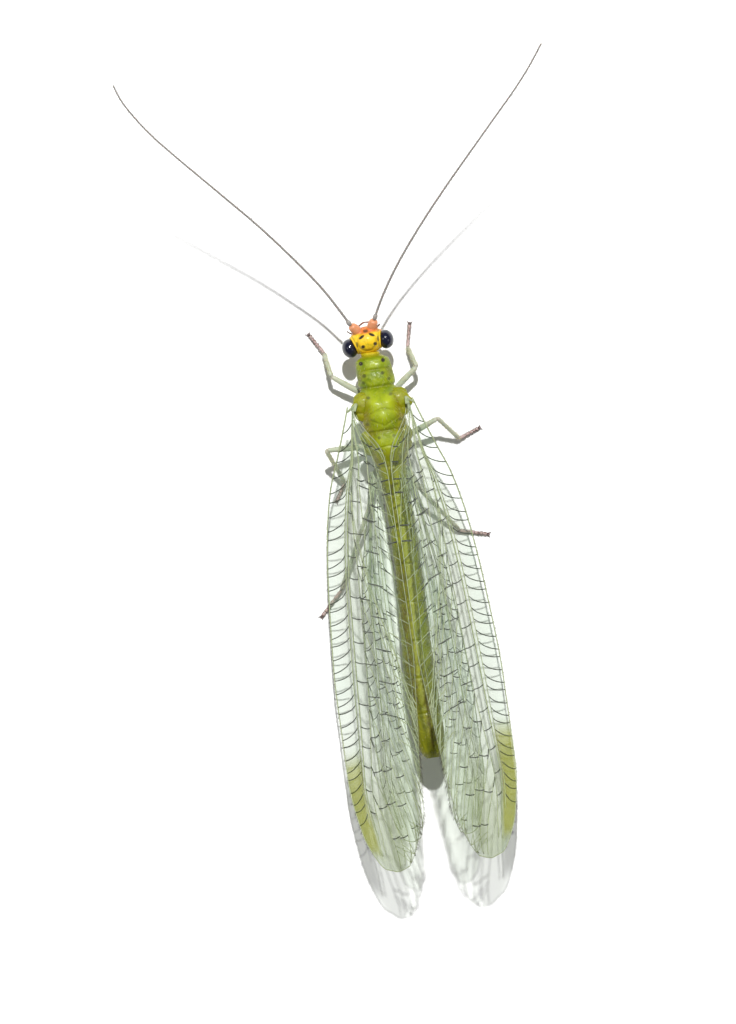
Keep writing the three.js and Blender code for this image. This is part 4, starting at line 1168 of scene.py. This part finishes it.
def make_wing(kind, name, side, node):
    fore = kind == "fore"
    nu, nw = (230, 66) if fore else (180, 46)
    us = 1 - (1 - np.linspace(0, 1, nu)) ** 1.25
    ws = np.linspace(0, 1, nw)
    # the membrane is pleated a little between its long veins
    pleat = 0.016 * np.sin(ws * 2 * PI * 7.0) * np.sin(PI * ws)
    thick = 0.006
    UU, WW = np.meshgrid(us, ws, indexing="ij")
    fade = np.sin(PI * np.minimum(1, UU * 6) / 2) * np.minimum(1, (1 - UU) * 14)
    base = wing_points(kind, side, UU, WW)
    normal = (wing_points(kind, side, UU, WW, 0.02) - base) / 0.02
    v = np.concatenate([(base + normal * (pleat[None] * fade + k_)[..., None]).reshape(-1, 3) for k_ in (thick, -thick)])
    haze = 0.40 * bell(WW - 0.36, 0.17) if fore else 0.0
    band = smooth((LINE_SC(UU) + 0.01 - WW) / 0.035 + 1.0) * smooth((UU - (0.72 if side < 0 else 0.695)) / 0.06) * smooth((0.985 - UU) / 0.05)
    st = np.tile(band.ravel(), 2)
    thin = smooth((WW - 0.70) / 0.22) * 0.85 if fore else np.maximum(0.72, smooth((WW - 0.6) / 0.3))
    thin = np.tile((thin * np.ones_like(UU)).ravel(), 2)
    away = np.tile(np.maximum(smooth((UU - 0.62) / 0.30) * smooth((WW + 0.1) / 0.3), haze).ravel(), 2)
    half = nu * nw
    f1 = grid_faces(nu, nw, False)
    f2 = grid_faces(nu, nw, False)[:, ::-1] + half
    i = np.arange(nu - 1)
    j = np.arange(nw - 1)
    rims = []
    for col, flip in ((0, 1), (nw - 1, 0)):
        q = np.stack([i * nw + col, (i + 1) * nw + col, (i + 1) * nw + col + half, i * nw + col + half], axis=-1)
        rims.append(q if flip else q[:, ::-1])
    for r_, flip in ((0, 0), (nu - 1, 1)):
        q = np.stack([r_ * nw + j, r_ * nw + j + 1, r_ * nw + j + 1 + half, r_ * nw + j + half], axis=-1)
        rims.append(q if flip else q[:, ::-1])
    b = Build()
    faces = [f1, f2] + rims
    if side > 0:
        faces = [f[:, ::-1] for f in faces]
    b.add(v, faces, attrs={"stigma": st if fore else st * 0.25, "far": away if fore else away * 0.4, "thin": thin})
    b.make(f"{name}_membrane", [MEMBRANE], "wing_membrane", [node])

    veins = Build()
    hair = Build()
    for share, radius, dark in venation(kind):
        line = wing_points(kind, side, share[:, 0], share[:, 1])
        keep = np.concatenate([[True], np.linalg.norm(np.diff(line, axis=0), axis=1) > 0.010])
        line, radius = line[keep], radius[keep]
        if len(line) < 3:
            continue
        veins.tube(line, radius * (1.0 if fore else 0.85), 7 if not dark else 6, dark, attrs={"tip": 0.0})
        # short dark hairs along the veins
        span = np.linalg.norm(np.diff(line, axis=0), axis=1).sum()
        count = int(span * (9 if fore else 5))
        if count and len(line) > 3:
            pos = rng.uniform(0, len(line) - 1.001, count)
            k_ = pos.astype(int)
            frac = (pos - k_)[:, None]
            base = line[k_] * (1 - frac) + line[k_ + 1] * frac
            tan = line[k_ + 1] - line[k_]
            tan /= np.linalg.norm(tan, axis=1)[:, None] + 1e-9
            out = np.stack([np.full(count, side * 0.85), np.zeros(count), np.full(count, 0.5)], axis=-1)
            out *= np.where(rng.uniform(size=count) < 0.75, 1, -1)[:, None]
            sh = share[keep]
            uv = sh[k_] * 0.95 + 0.02
            hair.hairs(base, out + tan * 0.55 + rng.normal(0, 0.15, (count, 3)), rng.uniform(0.06, 0.11, count), 0.0030, tan * 0.15, uv=uv)
    if fore:
        knob = place(2.58, side * 0.84 + 0.05, 2.37)
        for w in (0.0, 0.25, 0.5, 0.75, 1.0):
            end = wing_points(kind, side, 0.012, w)
            t = np.linspace(0, 1, 9)[:, None]
            veins.tube(knob + (end - knob) * t + np.array([0, 0, 0.03]) * np.sin(PI * t), mix(0.055, 0.026, t[:, 0]), 8, 0, attrs={"tip": 0.0})
    veins.make(f"{name}_veins", [VEIN_GREEN, VEIN_DARK], "wing_membrane")
    # fringe along both edges
    for w, count in ((0.0, 620), (1.0, 560)):
        us_ = np.sort(rng.uniform(0.03, 0.995, count))
        p = wing_points(kind, side, us_, w)
        inner = wing_points(kind, side, us_, w + (0.03 if w == 0 else -0.03))
        out = p - inner
        out /= np.linalg.norm(out, axis=1)[:, None] + 1e-9
        back = np.array([[0, -1.0, 0]])
        uv = np.stack([0.02 + 0.95 * us_, np.full(count, 0.02 + 0.94 * w)], axis=-1)
        hair.hairs(p, out * 0.75 + back * 0.55 + rng.normal(0, 0.08, (count, 3)), rng.uniform(0.10, 0.17, count) * (1.0 if w else 0.7) * np.where(us_ > 0.96, 0.45, 1), 0.0042, back * 0.2, uv=uv)
    hair.make(f"{name}_hair", [HAIR_DARK], "wing_membrane", coat=True)


for side, side_name in ((-1, "left"), (1, "right")):
    make_wing("fore", f"forewing_{side_name}", side, f"forewing_{side_name}")
    make_wing("hind", f"hindwing_{side_name}", side, f"hindwing_{side_name}")

# ----------------------------------------------------------------- body hair
coat = Build()
count = 1500
aa = np.concatenate([rng.uniform(1.05, 4.8, 620), rng.uniform(4.8, 14.6, count - 620)])
for a in aa:
    ang = rng.uniform(0, 2 * PI, 1)
    p, _ = body_ring(float(a), ang)
    q, _ = body_ring(float(a), ang + 0.02)
    e, _ = body_ring(float(a) + 0.02, ang)
    n = np.cross(e[0] - p[0], q[0] - p[0])
    n /= np.linalg.norm(n) + 1e-12
    mid = place(a, row(BODY, a, 4), mix(row(BODY, a, 2), row(BODY, a, 3), 0.55))
    if np.dot(n, p[0] - mid) < 0:
        n = -n
    back = np.array([0, -1.0, 0])
    uv = np.array([[0.02 + 0.95 * (a - 0.9) / 13.9, 0.02 + 0.95 * float(ang[0]) / (2 * PI)]])
    long = rng.uniform(0.07, 0.13) if a > 4.8 else rng.uniform(0.08, 0.16)
    if a > 14.2:
        long *= 1.3
    coat.hairs(p, (n * 0.7 + back * 0.55)[None], long, 0.0034, (back * 0.25)[None], uv=uv)
coat.make("body_hair", [HAIR_PALE], "body_green", coat=True)

# --------------------------------------------------------------------- stage
mf, nt, b, _ = material("studio_floor")
n = Nodes(nt)
n.link(n.mix(n.noise(0.15, 3), (0.86, 0.86, 0.855), (0.90, 0.90, 0.895)), b.inputs["Base Color"])
b.inputs["Roughness"].default_value = 0.85
me = bpy.data.meshes.new("floor")
R = 0.6
me.from_pydata([(-R, -R, 0), (R, -R, 0), (R, R, 0), (-R, R, 0)], [], [(0, 1, 2, 3)])
me.materials.append(mf)
floor = bpy.data.objects.new("floor", me)
bpy.context.scene.collection.objects.link(floor)

world = bpy.data.worlds.new("studio")
world.use_nodes = True
world.node_tree.nodes["Background"].inputs[0].default_value = (1.0, 1.0, 1.0, 1)
world.node_tree.nodes["Background"].inputs[1].default_value = 0.24
bpy.context.scene.world = world

ROLL = math.radians(-8.63)
up_image = Vector((-math.sin(ROLL), math.cos(ROLL), 0))
right_image = Vector((math.cos(ROLL), math.sin(ROLL), 0))
centre = Vector(place(6.196, -0.940, 2.0).tolist()) * MM


def area(name, offset, size, watts, colour=(1, 1, 1)):
    light = bpy.data.lights.new(name, "AREA")
    light.shape = "DISK"
    light.size = size
    light.energy = watts
    light.color = colour
    o = bpy.data.objects.new(name, light)
    o.location = centre + offset
    o.rotation_euler = (-offset).to_track_quat("-Z", "Y").to_euler()
    bpy.context.scene.collection.objects.link(o)
    return o


tilt = math.radians(26)
area("key", (up_image * math.sin(tilt) + Vector((0, 0, math.cos(tilt)))) * 0.35, 0.012, 1.80)
area("fill_left", (right_image * -0.75 + Vector((0, 0, 0.66))) * 0.35, 0.12, 0.10)
area("fill_right", (right_image * 0.75 + up_image * -0.2 + Vector((0, 0, 0.66))) * 0.35, 0.12, 0.08)

cam = bpy.data.cameras.new("camera")
cam.sensor_width = 36
cam.lens = 36 * 0.8 / (1024 * 0.0335 * MM)
cam.clip_start, cam.clip_end = 0.05, 5
camera = bpy.data.objects.new("camera", cam)
camera.location = centre + Vector((0, 0, 0.8))
camera.rotation_euler = (0, 0, ROLL)
bpy.context.scene.collection.objects.link(camera)
bpy.context.scene.camera = camera
bpy.context.scene.view_settings.view_transform = "Standard"
